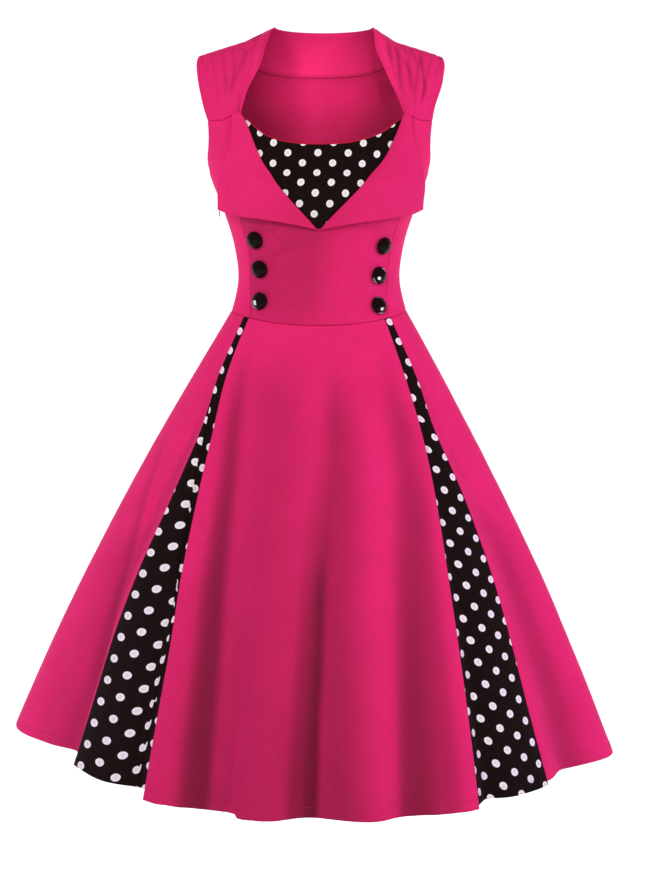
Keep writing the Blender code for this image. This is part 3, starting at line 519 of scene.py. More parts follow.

# Folds and creases of a piece, one row for each: its line down the piece as (across, down) pairs,
# how deep it is, how much painted shade darkens its depth, and how far it reaches to the left and to the
# right.
# A negative depth is a ridge. On the skirt a fold grows towards the hem.
FOLDS = {
    "skirt_front": (
        (((0.1, 0.03), (0.105, 0.17), (0.13, 0.33), (0.142, 0.5), (0.158, 0.9), (0.165, 1)),
         0.007, 0.92, 0.026, 0.02),
        (((0.3, 0), (0.31, 0.4), (0.35, 1)), 0, 0.54, 0.085, 0.095),
        (((0.6, 0.1), (0.56, 0.35), (0.54, 0.5), (0.515, 0.68), (0.503, 0.86), (0.505, 1)),
         0.007, 0.28, 0.03, 0.012),
        (((0.53, 0.45), (0.515, 0.68), (0.504, 0.86), (0.506, 1)), 0.004, 0.7, 0.007, 0.011),
        (((0.61, 0.03), (0.6, 0.33), (0.585, 0.5), (0.575, 0.7), (0.59, 1)), 0, 0.74, 0.03, 0.045),
        (((0.905, 0.05), (0.885, 0.33), (0.865, 0.5), (0.84, 0.72), (0.82, 1)), 0.005, 0.74, 0.03, 0.036),
        (((0.05, 0.5), (0.03, 1)), 0, 0.22, 0.04, 0.04),
        (((0.93, 0.3), (0.92, 0.6), (0.915, 1)), 0, 0.42, 0.02, 0.018),
    ),
    "skirt_side_right": (
        (((0.31, 0.26), (0.47, 0.34), (0.56, 0.43), (0.655, 0.52), (0.72, 0.61), (0.8, 0.74), (0.92, 1)),
         0.003, 0.42, 0.021, 0.009),
        (((0.6, 0.45), (0.62, 1)), 0, 0.3, 0.05, 0.08),
        (((0.8, 0.3), (0.86, 0.5), (0.95, 0.8)), -0.003, 0, 0.012, 0.012),
    ),
    "skirt_side_left": (
        (((0.29, 0.4), (0.3, 0.6), (0.312, 0.8), (0.3, 1)), 0.004, 0.5, 0.03, 0.034),
        (((0.17, 0.25), (0.17, 1)), -0.012, 0, 0.03, 0.03),
    ),
    "shoulder_right": (
        (((0.81, 0.28), (0.753, 0.54), (0.68, 0.77), (0.685, 0.92)), 0.0011, 0.24, 0.0055, 0.004),
        (((0.674, 0.4), (0.652, 0.6), (0.663, 0.78)), 0.0008, 0.18, 0.002, 0.0028),
        (((0.247, 0.24), (0.202, 0.5)), 0.0006, 0.16, 0.003, 0.003),
        (((0.674, 0.24), (0.719, 0.37)), 0.0005, 0.14, 0.0028, 0.0028),
        (((0.865, 0.84), (0.876, 0.98)), 0.0004, 0.12, 0.002, 0.002),
        (((0.517, 0.58), (0.607, 0.78)), 0.0004, 0.12, 0.0028, 0.0028),
    ),
    "shoulder_left": (
        (((0.116, 0.24), (0.151, 0.37), (0.14, 0.58)), 0.0012, 0.32, 0.0022, 0.0028),
        (((0.186, 0.2), (0.233, 0.37), (0.233, 0.5), (0.186, 0.65), (0.163, 0.78), (0.128, 0.95)),
         0.0016, 0.45, 0.002, 0.0028),
        (((0.291, 0.22), (0.36, 0.36)), 0.0012, 0.32, 0.002, 0.0025),
        (((0.302, 0.4), (0.337, 0.51), (0.36, 0.61), (0.362, 0.7), (0.349, 0.87)),
         0.0014, 0.42, 0.002, 0.003),
        (((0.419, 0.24), (0.477, 0.42)), 0.0012, 0.3, 0.002, 0.0025),
        (((0.535, 0.27), (0.558, 0.47), (0.585, 0.58), (0.622, 0.7), (0.57, 0.9)),
         0.0018, 0.55, 0.002, 0.003),
        (((0.744, 0.34), (0.837, 0.5)), 0.0006, 0.18, 0.0022, 0.0028),
    ),
    "midriff_front": (
        (((0.48, 0.02), (0.463, 0.2), (0.475, 0.6), (0.488, 1)), 0.0004, 0.07, 0.0012, 0.0012),
        (((0.4, 0.17), (0.27, 0.34), (0.15, 0.47)), 0.0007, 0.12, 0.009, 0.005),
        (((0.1, 0.1), (0.24, 0.22), (0.38, 0.34)), 0.0006, 0.08, 0.006, 0.006),
    ),
}


def fold_lines(sheet):
    """Lift of the folds of a piece, and the optical depth of the painted shade in them. A fold fades in at
    its start, and fades out at its end unless it runs off the piece there."""
    lift, dark = np.zeros_like(sheet.u), np.zeros_like(sheet.u)
    length = sheet.left[:, -1:]
    down = sheet.down[:, :1]
    grows = sheet.node.startswith("skirt")
    for line, depth, shade, left, right in FOLDS.get(sheet.node, ()):
        across, level = np.array(line).T
        at = np.interp(down[:, 0], level, np.arange(len(level)))
        distance = (sheet.across - (spline(len(level) - 1, at) @ across)[:, None]) * length
        share = np.clip((down - level[0]) / (level[-1] - level[0]), 0, 1)
        fade = np.clip(share * 5, 0, 1)
        if level[-1] < 0.97:
            fade = fade * np.clip((1 - share) * 3, 0, 1)
        fade = fade * fade * (3 - 2 * fade)
        reach = np.where(distance < 0, left, right) * (0.45 + 0.55 * down if grows else 1)
        profile = bump(distance, reach) * fade
        lift -= depth * profile * (share if grows else 1)
        # Painted shade, darkest along the line of the fold and growing towards the hem on the skirt.
        dark += shade * profile * (0.55 + 0.45 * share if grows else 1)
    return lift, dark


def unevenness(sheet, seed):
    """Soft waves of worn cloth, which die away towards the seams."""
    broad, fine = noise(sheet.u, sheet.v, 0.055, seed), noise(sheet.u, sheet.v, 0.019, seed + 1)
    return (1 - np.exp(-sheet.edge / 0.015)) * (0.00055 * broad + 0.00022 * fine)


def finish_edges(sheet, edges, seed):
    """Lift and extra thickness of the four edges of a piece, with the small waves of their sewing."""
    lift, extra = np.zeros_like(sheet.u), np.zeros_like(sheet.u)
    distances = (sheet.top, sheet.right, sheet.bottom, sheet.left)
    for kind, distance, along in zip(edges.split(), distances, (sheet.u, sheet.v, sheet.u, sheet.v)):
        waves = noise(along, 0 * along + seed, 0.0055, seed + 7)
        if kind == "sewn":
            lift -= 0.00055 * bump(distance, 0.0011)
            lift += 0.00022 * waves * np.exp(-distance / 0.005) * (1 - bump(distance, 0.0008))
        elif kind == "free":
            lift += 0.00012 * waves * np.exp(-distance / 0.005)
        elif kind == "hem":
            lift += 0.00025 * (step_down(distance, HEM_FOLD, 0.0012) - bump(distance - HEM_FOLD, 0.0010))
            lift += 0.00030 * waves * bump(distance - HEM_FOLD, 0.010)
        if kind != "under":
            extra += ALLOWANCE_WALL * step_down(distance, HEM_FOLD if kind == "hem" else ALLOWANCE, 0.0008)
    return lift, extra


# How the print lies on each dotted piece: its own coordinates from the cloth's (u, v, 1).
PRINTS = {
    "bust_insert": ((1.078, 0.0558, 0.0242), (-0.0055, 1.0176, -0.0271)),
    "godet_right": ((0.585, 0.0614, -0.0007), (0.0403, 0.9797, -0.472)),
    "godet_left": ((0.908, -0.1515, 0.0667), (0.0106, 0.9955, -0.3648)),
}
PRINT_LEAN = 0.13          # the insert's rows of dots run level, as seen from slightly above


def print_on(sheet):
    """Lays the print on a dotted piece. The insert's rows follow its height and not its edges."""
    if sheet.node == "bust_insert":
        middle = sheet.points.shape[1] // 2
        height = sheet.points[..., 2] + PRINT_LEAN * sheet.points[..., 1]
        keys, values = height[::-1, middle], sheet.top[::-1, middle]
        sheet.v = np.interp(height, keys, values) - np.maximum(height - keys[-1], 0)
        along = run(sheet.points[..., :2], 1)
        sheet.u = along - along[:, middle : middle + 1]
    (a, b, c), (d, e, f) = PRINTS[sheet.node]
    sheet.u, sheet.v = a * sheet.u + b * sheet.v + c, d * sheet.u + e * sheet.v + f


# The godets are cut on their own and eased in at the top, so their print drifts there. One row for
# each level: how far down the godet it is, and the drift across and down in metres.
DRIFTS = {
    "godet_right": (
        (0.2, 0.02, 0), (0.27, 0.0164, 0), (0.32, 0.0124, 0), (0.36, 0.0074, 0), (0.41, 0.0047, 0),
        (0.45, 0.002, 0), (0.5, 0, 0),
    ),
    "godet_left": (
        (0, 0.0005, 0.0137), (0.05, 0.003, 0.013), (0.1, 0.005, 0.01), (0.126, 0.001, 0.0062),
        (0.172, 0.0027, 0.0027), (0.215, 0.0065, 0), (0.25, -0.003, 0.001), (0.29, -0.007, 0),
        (0.335, -0.004, 0.0005), (0.39, -0.0015, 0), (0.45, 0, 0),
    ),
}


def by_level(sheet, table):
    """The columns of a table laid over a sheet. Its first column is how far down each row holds."""
    levels, *columns = np.array(table).T
    return [np.interp(sheet.down, levels, column) for column in columns]


def drift(sheet):
    """Shifts the print of a godet by its table."""
    across, along = by_level(sheet, DRIFTS[sheet.node])
    sheet.u, sheet.v = sheet.u + across, sheet.v + along


# The godet on the wearer's right doubles back under itself. To the right of this line its lower
# layer shows: (across, down) pairs. Its print is eased and leans above DOUBLED_CHANGE, and is only
# moved along below it.
DOUBLED = (
    (-0.3, 0), (0.02, 0.19), (0.2, 0.231), (0.34, 0.272), (0.46, 0.318), (0.57, 0.362), (0.65, 0.416),
    (0.72, 0.47), (0.76, 0.54), (0.8, 0.575), (0.83, 0.62), (0.85, 0.69), (0.835, 0.736), (0.815, 0.778),
    (0.8, 0.85), (0.785, 0.96), (0.78, 1),
)
DOUBLED_DEPTH = 0.0024
DOUBLED_CHANGE = 0.63
DOUBLED_EASE = 1.6
DOUBLED_LEAN = 0.313
DOUBLED_DRIFT = 0.054      # how far its print drifts across for each godet's height below 0.22
DOUBLED_SHIFT = ((0.63, -0.003, 0.0055), (0.86, -0.003, 0.0055), (1, -0.0115, 0.0055))
# Beside that line the upper layer turns away, so its print is drawn together: how far its last dots
# move, from where on, and how much narrower they are: (down, metres, across, share).
TURNED = (
    (0.64, 0, 0.79, 0), (0.7, 0.011, 0.77, 0.6), (0.79, 0.01, 0.716, 0.8), (0.9, 0.0068, 0.675, 0.5),
    (1, 0.0052, 0.64, 0.1),
)
TURNED_SLIP = -0.45
TURNED_MIDDLE = 0.775


def lower_layer(sheet):
    """Sinks the lower layer of the doubled godet, and lays its print and that of the upper layer."""
    across, level = np.array(DOUBLED).T
    width = sheet.left[:, -1:]
    share = step_down((np.interp(sheet.down, level, across) - sheet.across) * width, 0, 0.002)
    eased = DOUBLED_EASE * sheet.u - DOUBLED_DRIFT * np.maximum(sheet.down - 0.22, 0)
    across_shift, along_shift = by_level(sheet, DOUBLED_SHIFT)
    shifted = (sheet.u + across_shift, sheet.v + along_shift)
    lower = np.where(sheet.down > DOUBLED_CHANGE, shifted, (eased, sheet.v - DOUBLED_LEAN * eased))
    drift(sheet)
    metres, place, narrower = by_level(sheet, TURNED)
    beyond = 1 - step_down(sheet.across, place, 0.012)
    slip = beyond * metres
    sheet.u = sheet.u + slip + beyond * narrower * (sheet.across - TURNED_MIDDLE) * width
    sheet.v = sheet.v + TURNED_SLIP * slip
    sheet.u, sheet.v = np.where(share > 0.5, lower, (sheet.u, sheet.v))
    return -DOUBLED_DEPTH * share * np.clip((sheet.down - 0.12) / 0.2, 0, 1)


# Most shade that the broad hollows of a skirt piece get.
DEEPEST = defaultdict(lambda: 0.25, skirt_front=0.5, skirt_side_left=0.08)


def soft_shade(sheet):
    """Optical depth of the broad painted shade on a piece, outside and inside: on the straps, the midriff,
    the lapels, and inside the back and neck band.
    """
    x, z = sheet.points[..., 0], sheet.points[..., 2]
    outside, inside = np.zeros_like(x), np.zeros_like(x)
    if sheet.node.startswith("shoulder"):
        outside = outside + 0.04
    elif sheet.node == "midriff_front":
        # Painted shade on the midriff: darker at -X and near its top edge, under the lapels.
        outside = 0.36 * step_down(x, 0.004, 0.040) * (1 - 0.45 * step_down(sheet.bottom, 0.02, 0.03))
        outside += 0.06 + 0.16 * bump(sheet.top, 0.020)
    # Painted shade on the lapels, darker towards their lower parts.
    elif sheet.node == "lapel_right":
        outside = 0.14 * sheet.across**2 * sheet.down
    elif sheet.node == "lapel_left":
        outside = 0.06 + 0.20 * sheet.down**2 * (1.2 - sheet.across)
    elif sheet.node in ("bodice_back", "back_neck_band"):
        # Painted shade inside: darker towards the sides and low down, and along the seam between the back and
        # the neck band.
        inside = 0.50 * np.clip(np.abs(x) / 0.088, 0, 1.2) ** 2.4 + 0.40 * np.clip((-0.072 - z) / 0.046, 0, 1)
        inside += 0.35 * bump(sheet.top if sheet.node == "bodice_back" else sheet.bottom, 0.0035)
    return outside, inside


# How much the front panel's hem rises: (across, metres).
HEM_RISES = (
    (0.02, 0.0023), (0.08, 0.001), (0.115, -0.0025), (0.16, -0.004), (0.21, -0.003), (0.25, -0.0027),
    (0.275, -0.0014), (0.304, 0), (0.335, 0.0019), (0.357, 0.0027), (0.38, 0.0012), (0.42, -0.0014),
    (0.46, -0.0022), (0.53, -0.0004), (0.7, 0.0004), (0.743, 0.0007), (0.81, -0.0026), (0.87, -0.0025),
    (0.93, -0.0002), (1, -0.0012),
)


def notch(sheet):
    """Lays the hem line of the front panel, with a small step where its two hem turnings meet."""
    beside = sheet.across - NOTCH_ACROSS
    near = np.clip(1 - np.abs(beside) / 0.25, 0, 1)
    step = step_down(beside, 0, 0.0015) - 0.3
    rise = np.interp(sheet.across, *np.array(HEM_RISES).T)
    sheet.points[..., 2] += NOTCH * step * near * np.clip((sheet.down - 0.93) / 0.07, 0, 1)
    sheet.points[..., 2] += rise * np.clip((sheet.down - 0.80) / 0.2, 0, 1)
    sheet.measure()


def make_piece(number, piece):
    """Builds the cloth of a piece in place of its CAD node, and returns its sheet."""
    node, sheet = piece.node, Sheet(piece)
    lift, extra = finish_edges(sheet, piece.edges, 11 * number)
    wall, finish = WALL, dotted if node in PRINTS else pink
    if node.startswith("lapel"):
        wall, extra = LAPEL_WALL, 0 * extra
    if node == "zip_tape":
        wall, finish, lift, extra = TAPE_WALL, tape_pink, 0 * lift, 0 * extra
    else:
        lift = lift + unevenness(sheet, 100 + 10 * number)
    fall, dark = fold_lines(sheet)
    soft, dark_inside = soft_shade(sheet)
    if node.startswith("skirt"):
        sheet.moved(fall)
        # Painted shade in the broad hollows of a skirt piece.
        dark = dark + np.clip(hollow(sheet, 0.05) / 0.010, 0, DEEPEST[node])
    else:
        lift = lift + fall
    if node.startswith("shoulder"):
        sheet.moved(0.75 * hollow(sheet, 0.012))
        # Painted shade in the hollows of the gathers.
        dark = dark + np.clip(hollow(sheet, 0.008) / 0.0012, 0, 0.4)
    if node == "skirt_front":
        notch(sheet)
    if node in PRINTS:
        print_on(sheet)
    if node == "godet_right":
        lift = lift + lower_layer(sheet)
    elif node == "godet_left":
        drift(sheet)
    shades = np.exp(-(dark + soft)), np.exp(-dark_inside)
    cloth = fabric(node + "_cloth", sheet, wall, finish, lift, extra, *shades)
    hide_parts(node)
    {pink: "pink_cotton", dotted: "dotted_cotton", tape_pink: "zip_tape"}[finish]
    return sheet


sheets = {piece.node: make_piece(number, piece) for number, piece in enumerate(PIECES)}

# ------------ sewing
def line_along(sheet, edge, inset):
    """Points and normals of a line that runs along an edge of a sheet, inset metres inside it."""
    values = np.concatenate([sheet.points, sheet.normal, getattr(sheet, edge)[..., None]], axis=2)
    found = []
    for row in values if edge in ("left", "right") else values.swapaxes(0, 1):
        row = row[np.argsort(row[:, 6])].T
        found.append([np.interp(inset, row[6], row[k]) for k in range(6)])
    return np.split(np.array(found), 2, axis=1)


def resampled(points, others, spacing, start, end):
    """Points, and other values at them, at equal steps along a line."""
    along = run(points, 0)
    at = np.arange(start, along[-1] - end, spacing)
    pick = lambda values: np.stack([np.interp(at, along, values[:, k]) for k in range(3)], axis=1)
    return pick(points), pick(others)


def stitches(name, line, finish):
    """A row of machine stitches along a line: short threads that dip into the cloth at both ends."""
    spacing = STITCH_LENGTH + STITCH_GAP
    begin, up = resampled(*line, spacing, 0.004, 0.008)
    ahead, _ = resampled(*line, spacing, 0.004 + STITCH_LENGTH, 0.008 - STITCH_LENGTH)
    count = min(len(begin), len(ahead))
    begin, ahead, up = begin[:count], ahead[:count], up[:count]
    side = unit(np.cross(ahead - begin, up))
    corners = np.array([(1, 0), (0, 1), (-1, 0), (0, -1)]) * THREAD
    round_it = side[:, None] * corners[:, :1] + up[:, None] * corners[:, 1:]
    rings = []
    for share, raised, thick in ((0, -1.2, 0.6), (0.18, 0.7, 1), (0.82, 0.7, 1), (1, -1.2, 0.6)):
        centre = begin + (ahead - begin) * share + up * (STITCH_LIFT + raised * THREAD)
        rings.append(centre[:, None] + thick * round_it)
    sides = [[k, k + 1 - 4 * (k % 4 == 3), k + 5 - 4 * (k % 4 == 3), k + 4] for k in range(12)]
    faces = np.array(sides + [[3, 2, 1, 0], [12, 13, 14, 15]])
    faces = (faces[None] + 16 * np.arange(count)[:, None, None]).reshape(-1, 4)
    mesh = smooth_mesh(name, np.stack(rings, axis=1).reshape(-1, 3), faces)
    return placed(name, mesh, finish, "dress")


def from_curve(name, lines, matrix, finish, body, **settings):
    """A mesh object made by a curve with these settings, through the points of each line."""
    curve = bpy.data.curves.new(name, "CURVE")
    for key, value in settings.items():
        setattr(curve, key, value)
    curve.bevel_resolution = 2
    for line in lines:
        strand = curve.splines.new("POLY")
        strand.points.add(len(line) - 1)
        strand.use_cyclic_u = curve.dimensions == "2D"
        for point, (x, y, *z) in zip(strand.points, line):
            point.co = (x, y, *(z or [0]), 1)
    holder = placed(name + "_curve", curve)
    mesh = bpy.data.meshes.new_from_object(holder.evaluated_get(bpy.context.evaluated_depsgraph_get()))
    bpy.data.objects.remove(holder, do_unlink=True)
    bm = bmesh.new()
    bm.from_mesh(mesh)
    bmesh.ops.remove_doubles(bm, verts=bm.verts, dist=1e-6)
    bm.to_mesh(mesh)
    bm.free()
    mesh.transform(matrix)
    mesh.materials.clear()
    mesh.shade_smooth()
    return placed(name, mesh, finish, body)


def tube(name, points, radius, finish):
    """A thin round cord through these points."""
    round_cord = {"dimensions": "3D", "bevel_depth": radius, "use_fill_caps": True}
    return from_curve(name, [points], Matrix(), finish, "dress", **round_cord)


STITCHED = [(piece.node, "bottom", HEM_FOLD) for piece in PIECES if piece.edges.split()[2] == "hem"]
STITCHED += [("shoulder_right", "left", 0.005), ("shoulder_left", "right", 0.005)]
STITCHED += [("back_neck_band", "top", 0.005)]
for node, edge, inset in STITCHED:
    thread = thread_dark if node in PRINTS else thread_pink
    stitches(f"{node}_{edge}_stitches", line_along(sheets[node], edge, inset), thread)

PIPING = 0.0008
insert = sheets["bust_insert"]
rim = insert.points[0, 2:-2] + insert.normal[0, 2:-2] * 0.0002 + (0, 0, 0.0003)
tube("insert_piping", rim, PIPING, piping_red)

# ------------ zip
PIVOT = Vector((-0.14330, 0.0, -0.2290))
SLIDER_BACK = PIVOT.x + 0.00305
SLIDER_FRONT = PIVOT.x + 0.00105
SLIDER_OUTLINE = (
    (-0.0026, 0.0030), (-0.0019, 0.0040), (-0.0008, 0.0036), (0.0, 0.0032), (0.0008, 0.0036),
    (0.0019, 0.0040), (0.0026, 0.0030), (0.0024, 0.0), (0.0019, -0.0034), (0.0013, -0.0040),
    (-0.0013, -0.0040), (-0.0019, -0.0034), (-0.0024, 0.0),
)
BRIDGE_ARCH = (
    (0.0012, 0.0016), (-0.0003, 0.00155), (-0.0011, 0.0011), (-0.00145, 0.0004), (-0.00145, -0.0004),
    (-0.0011, -0.0011), (-0.0003, -0.00155), (0.0012, -0.0016),
)
PULL_WINDOW = ((-0.0012, -0.0006), (-0.0012, -0.0036), (0.0012, -0.0036), (0.0012, -0.0006))
PULL_WALL = 0.0010
BEVEL = 0.00016


def arc(centre, wide, high, first, last, count):
    """Points on an ellipse from one angle to another, in degrees."""
    turn = np.radians(np.linspace(first, last, count))
    return list(zip(centre[0] + wide * np.cos(turn), centre[1] + high * np.sin(turn)))


# The pull tab: a crossbar with rounded corners, a narrow neck, and a rounded drop below it.
PULL_OUTLINE = [
    (-0.0017, 0.0006), (0.0017, 0.0006), (0.0020, 0.0003), (0.0020, -0.0038), (0.0022, -0.0060),
    *arc((0, -0.0105), 0.0028, 0.0029, 10, -190, 16), (-0.0022, -0.0060), (-0.0020, -0.0038),
    (-0.0020, 0.0003),
]
PULL_HOLE = arc((0, -0.0108), 0.0009, 0.0009, 0, -330, 12)


def plate(name, outlines, thick, x, body):
    """A flat bevelled plate that stands in the plane across X, from (Y, Z) outlines about the pivot."""
    filled = {"dimensions": "2D", "fill_mode": "BOTH", "extrude": thick / 2 - BEVEL}
    bevel = {"bevel_depth": BEVEL, "offset": -BEVEL}
    matrix = Matrix.LocRotScale(Vector((x, PIVOT.y, PIVOT.z)), Euler((math.pi / 2, 0, math.pi / 2)), None)
    return from_curve(name, outlines, matrix, brass, body, **filled, **bevel)


slider_middle = (SLIDER_BACK + SLIDER_FRONT) / 2
slider = plate("zip_slider_body", [SLIDER_OUTLINE], SLIDER_BACK - SLIDER_FRONT, slider_middle, "dress")
arch = np.array([(PIVOT.x + x, 0, PIVOT.z + z) for x, z in BRIDGE_ARCH])
bridge = tube("zip_slider_bridge", arch, 0.0004, brass)
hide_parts("zip_slider")
pull = plate("zip_pull_tab", [PULL_OUTLINE, PULL_WINDOW, PULL_HOLE], PULL_WALL, PIVOT.x, "zip_pull")
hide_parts("zip_pull")

TOOTH_STEP = 0.0015
TOOTH = (0.0013, 0.00045, 0.0006)      # half sizes: across, along, out


def teeth():
    """Two rows of zip teeth that mesh along the middle of the tape, on its inner face."""
    tape = sheets["zip_tape"]
    middle = tape.points.shape[1] // 2
    places, normals = resampled(tape.points[:, middle], tape.normal[:, middle], TOOTH_STEP / 2, 0.004, 0.004)
    along = unit(np.gradient(places, axis=0))
    across = np.cross(normals, along)
    offset = np.where(np.arange(len(places)) % 2, 1, -1)[:, None] * 0.0009
    centre = places - normals * (TAPE_WALL + TOOTH[2] * 0.8) + across * offset
    corners = np.array([(x, y, z) for x in (-1, 1) for y in (-1, 1) for z in (-1, 1)]) * TOOTH
    points = centre[:, None] + across[:, None] * corners[:, :1]
    points = points + along[:, None] * corners[:, 1:2] + normals[:, None] * corners[:, 2:]
    sides = np.array([(0, 1, 3, 2), (4, 6, 7, 5), (0, 4, 5, 1), (2, 3, 7, 6), (0, 2, 6, 4), (1, 5, 7, 3)])
    faces = (sides[None] + 8 * np.arange(len(places))[:, None, None]).reshape(-1, 4)
    mesh = smooth_mesh("zip_teeth", points.reshape(-1, 3), faces)
    mesh.shade_flat()
    return placed("zip_teeth", mesh, brass, "dress")


teeth()

# ------------ buttons
BUTTON_RADIUS = 0.0125
RIM = 0.00115              # radius of the rounding of a button's rim
BUTTON_STEPS = 56
BUTTON_TOP = 0.0078        # height of the CAD button's top above its foot
# (radius, height) pairs down a button's outer side: a low dome, a groove, a rounded rim.
BUTTON_PROFILE = [
    *arc((0, 0.0026), 0.0105, 0.0050, 90, 0, 14), (0.0107, 0.0024),
    *arc((BUTTON_RADIUS - RIM, 0.00145), RIM, RIM, 115, -75, 12),
    (0.0096, 0.0002), (0.0030, 0.0002), (0.0024, 0.0), (0.0023, -0.0013), (0.0, -0.0013),
]


def turned(name, finish):
    """A closed button, turned about +Z."""
    mesh = bpy.data.meshes.new(name)
    bm = bmesh.new()
    rim = [bm.verts.new((radius, 0, height)) for radius, height in BUTTON_PROFILE]
    edges = [bm.edges.new(pair) for pair in zip(rim, rim[1:])]
    turn = {"axis": (0, 0, 1), "cent": (0, 0, 0), "steps": BUTTON_STEPS, "angle": 2 * math.pi}
    bmesh.ops.spin(bm, geom=rim + edges, **turn)
    bmesh.ops.remove_doubles(bm, verts=bm.verts, dist=1e-6)
    bmesh.ops.recalc_face_normals(bm, faces=bm.faces)
    bm.to_mesh(mesh)
    bm.free()
    mesh.shade_smooth()
    return placed(name, mesh, finish)


def button_frame(node):
    """The top point of a CAD button, and its turning axis, which points out of its dome."""
    points, _ = welded(node)
    middle = points.mean(axis=0)
    axis = np.linalg.eigh(np.cov((points - middle).T))[1][:, 0]
    axis = axis * -np.sign(axis[1])
    return points[((points - middle) @ axis).argmax()], axis


buttons = {}
for number in range(1, 7):
    node = f"button_{number}"
    top, axis = button_frame(node)
    button = turned(node + "_dome", button_black)
    turn = Vector(axis).to_track_quat("Z", "Y")
    button.matrix_world = Matrix.LocRotScale(Vector(top) - Vector(axis) * BUTTON_TOP, turn, None)
    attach(button, "dress")
    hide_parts(node)
    buttons[number] = button

# ------------ camera, light and floor
CAMERA_TILT = 7.4          # degrees down
camera = placed("camera", bpy.data.cameras.new("camera"))
camera.data.lens = 74.19
camera.data.sensor_width = 36
camera.location = (0.0087, -2.6, -0.22159)
camera.rotation_euler = (math.radians(90 - CAMERA_TILT), 0, 0)
scene.camera = camera
scene.view_settings.view_transform = "Standard"

# The world is bright behind the dress and dim elsewhere.
world = Nodes(bpy.data.worlds.new("studio"), "Background")
scene.world = world.holder
away = world.add("ShaderNodeSeparateXYZ", Vector=world.coordinates("Generated")).outputs[1]
world.into(Color=WHITE, Strength=world.range(away, 0.45, 0.80, 0.16, 1.10))

# floor: whether it lights the floor too, and not the dress alone. shine: whether it shows in
# polished surfaces.
Lamp = namedtuple("Lamp", "name place aim size power colour floor shine")
LAMPS = (
    Lamp("key", (-1.3, -2.9, 1.3), (0, 0, -0.45), 0.7, 54.2, (1.0, 0.98, 0.98), True, False),
    Lamp("fill", (1.9, -2.4, 0.9), (0, 0, -0.5), 0.9, 30.3, (0.98, 0.98, 1.0), True, False),
    Lamp("side_left", (-2.6, -0.3, 0.2), (0, 0, -0.5), 0.8, 13.5, (0.90, 0.45, 1.0), False, False),
    Lamp("side_right", (2.6, -0.3, 0.2), (0, 0, -0.5), 0.8, 20.7, (0.80, 0.36, 1.0), False, False),
    Lamp("violet_left", (-2.0, -0.2, -0.9), (-0.12, 0, -0.2), 0.6, 3.5, (0.30, 0.10, 1.0), False, False),
    Lamp("violet_right", (2.0, -0.2, -0.9), (0.12, 0, -0.2), 0.6, 3.5, (0.30, 0.10, 1.0), False, False),
    Lamp("back", (0.0, 2.6, 1.2), (0, 0, -0.4), 1.6, 10.0, (1, 1, 1), True, True),
)
# Three of the buttons glint. Each has a small lamp that lights that button alone.
# Its row gives the button's number, and the lamp's place, size and power.
SPARKS = (
    (3, (-1.58, -0.12, -0.56), 0.8, 110.0),
    (5, (1.07, -0.90, -1.10), 0.9, 230.0),
    (6, (1.49, -0.46, -0.76), 0.8, 130.0),
)
NECK_LAMP_CONE = 5.2       # degrees across


def hang(name, kind, power, place, aim):
    """A lamp that shines from place to aim."""
    holder = placed(name, bpy.data.lights.new(name, kind))
    holder.data.energy = power
    holder.location = place
    holder.rotation_euler = (Vector(aim) - Vector(place)).to_track_quat("-Z", "Y").to_euler()
    return holder


def light_only(holder, things):
    """Makes a lamp light these objects alone."""
    lit = bpy.data.collections.new(holder.name)
    for thing in things:
        lit.objects.link(thing)
    holder.light_linking.receiver_collection = lit


dressed = [found for found in scene.objects if found.type == "MESH"]
for lamp in LAMPS:
    holder = hang(lamp.name, "AREA", lamp.power, lamp.place, lamp.aim)
    holder.data.size = lamp.size
    holder.data.color = lamp.colour
    holder.visible_glossy = lamp.shine
    if not lamp.floor:
        light_only(holder, dressed)
for number, place, size, power in SPARKS:
    holder = hang(f"spark_{number}", "AREA", power, place, buttons[number].location)
    holder.data.size = size
    holder.visible_diffuse = False
    light_only(holder, [buttons[number]])
neck = hang("neck", "SPOT", 92.0, (0.15, -2.3, 0.42), (0.006, 0.07, -0.062))
neck.data.spot_size = math.radians(NECK_LAMP_CONE)
neck.data.spot_blend = 1.0
neck.data.shadow_soft_size = 0.03

FLOOR_Z = -1.30
ROOM = 28.0                # half the width of the white room
ROOM_GLOW = 1.1


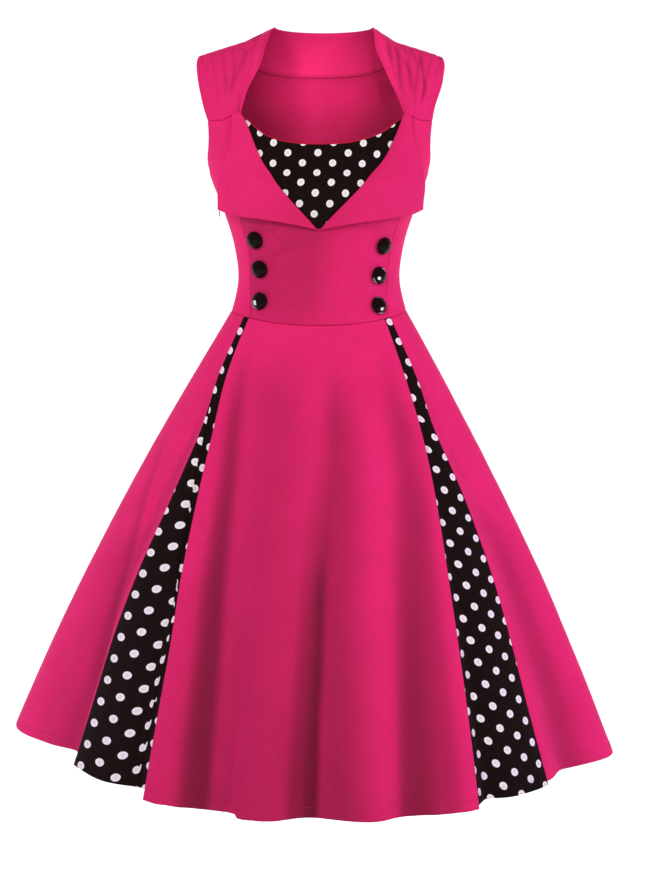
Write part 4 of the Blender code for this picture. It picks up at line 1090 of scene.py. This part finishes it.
def level_mesh(name, half, back, z):
    """A rectangle that reaches half metres to the left, right and front, and back metres behind."""
    mesh = bpy.data.meshes.new(name)
    corners = [(-half, -half, z), (half, -half, z), (half, back, z), (-half, back, z)]
    mesh.from_pydata(corners, [], [(0, 1, 2, 3)])
    return mesh


def only_seen(mesh):
    """Stages a white shape that the camera sees and that lights and shades nothing."""
    nodes = Nodes(bpy.data.materials.new(mesh.name))
    nodes.into(Base_Color=(0, 0, 0, 1), Specular_IOR_Level=0.0)
    nodes.into(Emission_Color=WHITE, Emission_Strength=ROOM_GLOW)
    shape = placed(mesh.name, mesh, nodes.holder)
    for ray in ("diffuse", "glossy", "transmission", "volume_scatter", "shadow"):
        setattr(shape, "visible_" + ray, False)
    shape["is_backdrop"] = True
    return shape, nodes


# A pale floor that also glows, as painted light: not at all from 0.3 m in front of the middle, and at 0.95
# from 0.25 m behind it, so that it shows white behind the dress.
pale_glowing = Nodes(bpy.data.materials.new("pale_glowing_floor"))
depth = pale_glowing.add("ShaderNodeSeparateXYZ", Vector=pale_glowing.coordinates("Object")).outputs[1]
pale_glowing.into(Base_Color=(0.92, 0.92, 0.92, 1), Roughness=0.9)
pale_glowing.into(Emission_Color=WHITE, Emission_Strength=pale_glowing.range(depth, -0.3, 0.25, 0.0, 0.95))
placed("floor", level_mesh("floor", 30.0, 60.0, FLOOR_Z), pale_glowing.holder)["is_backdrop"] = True

# The white room round the dress, and a white floor that fades out towards the dress.
room = bmesh.new()
bmesh.ops.create_cube(room, size=2 * ROOM)
room_mesh = bpy.data.meshes.new("room")
room.to_mesh(room_mesh)
room.free()
only_seen(room_mesh)
wide, wide_nodes = only_seen(level_mesh("wide_floor", ROOM, ROOM, 0.0))
wide.location = (0, 0, FLOOR_Z + 0.002)
radius = wide_nodes.vector("LENGTH", wide_nodes.coordinates("Object"), output=1)
wide_nodes.into(Alpha=wide_nodes.range(radius, 0.40, 1.05, 0.0, 1.0))

{"cad": cad_box, "visual": [list(corner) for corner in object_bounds()]}
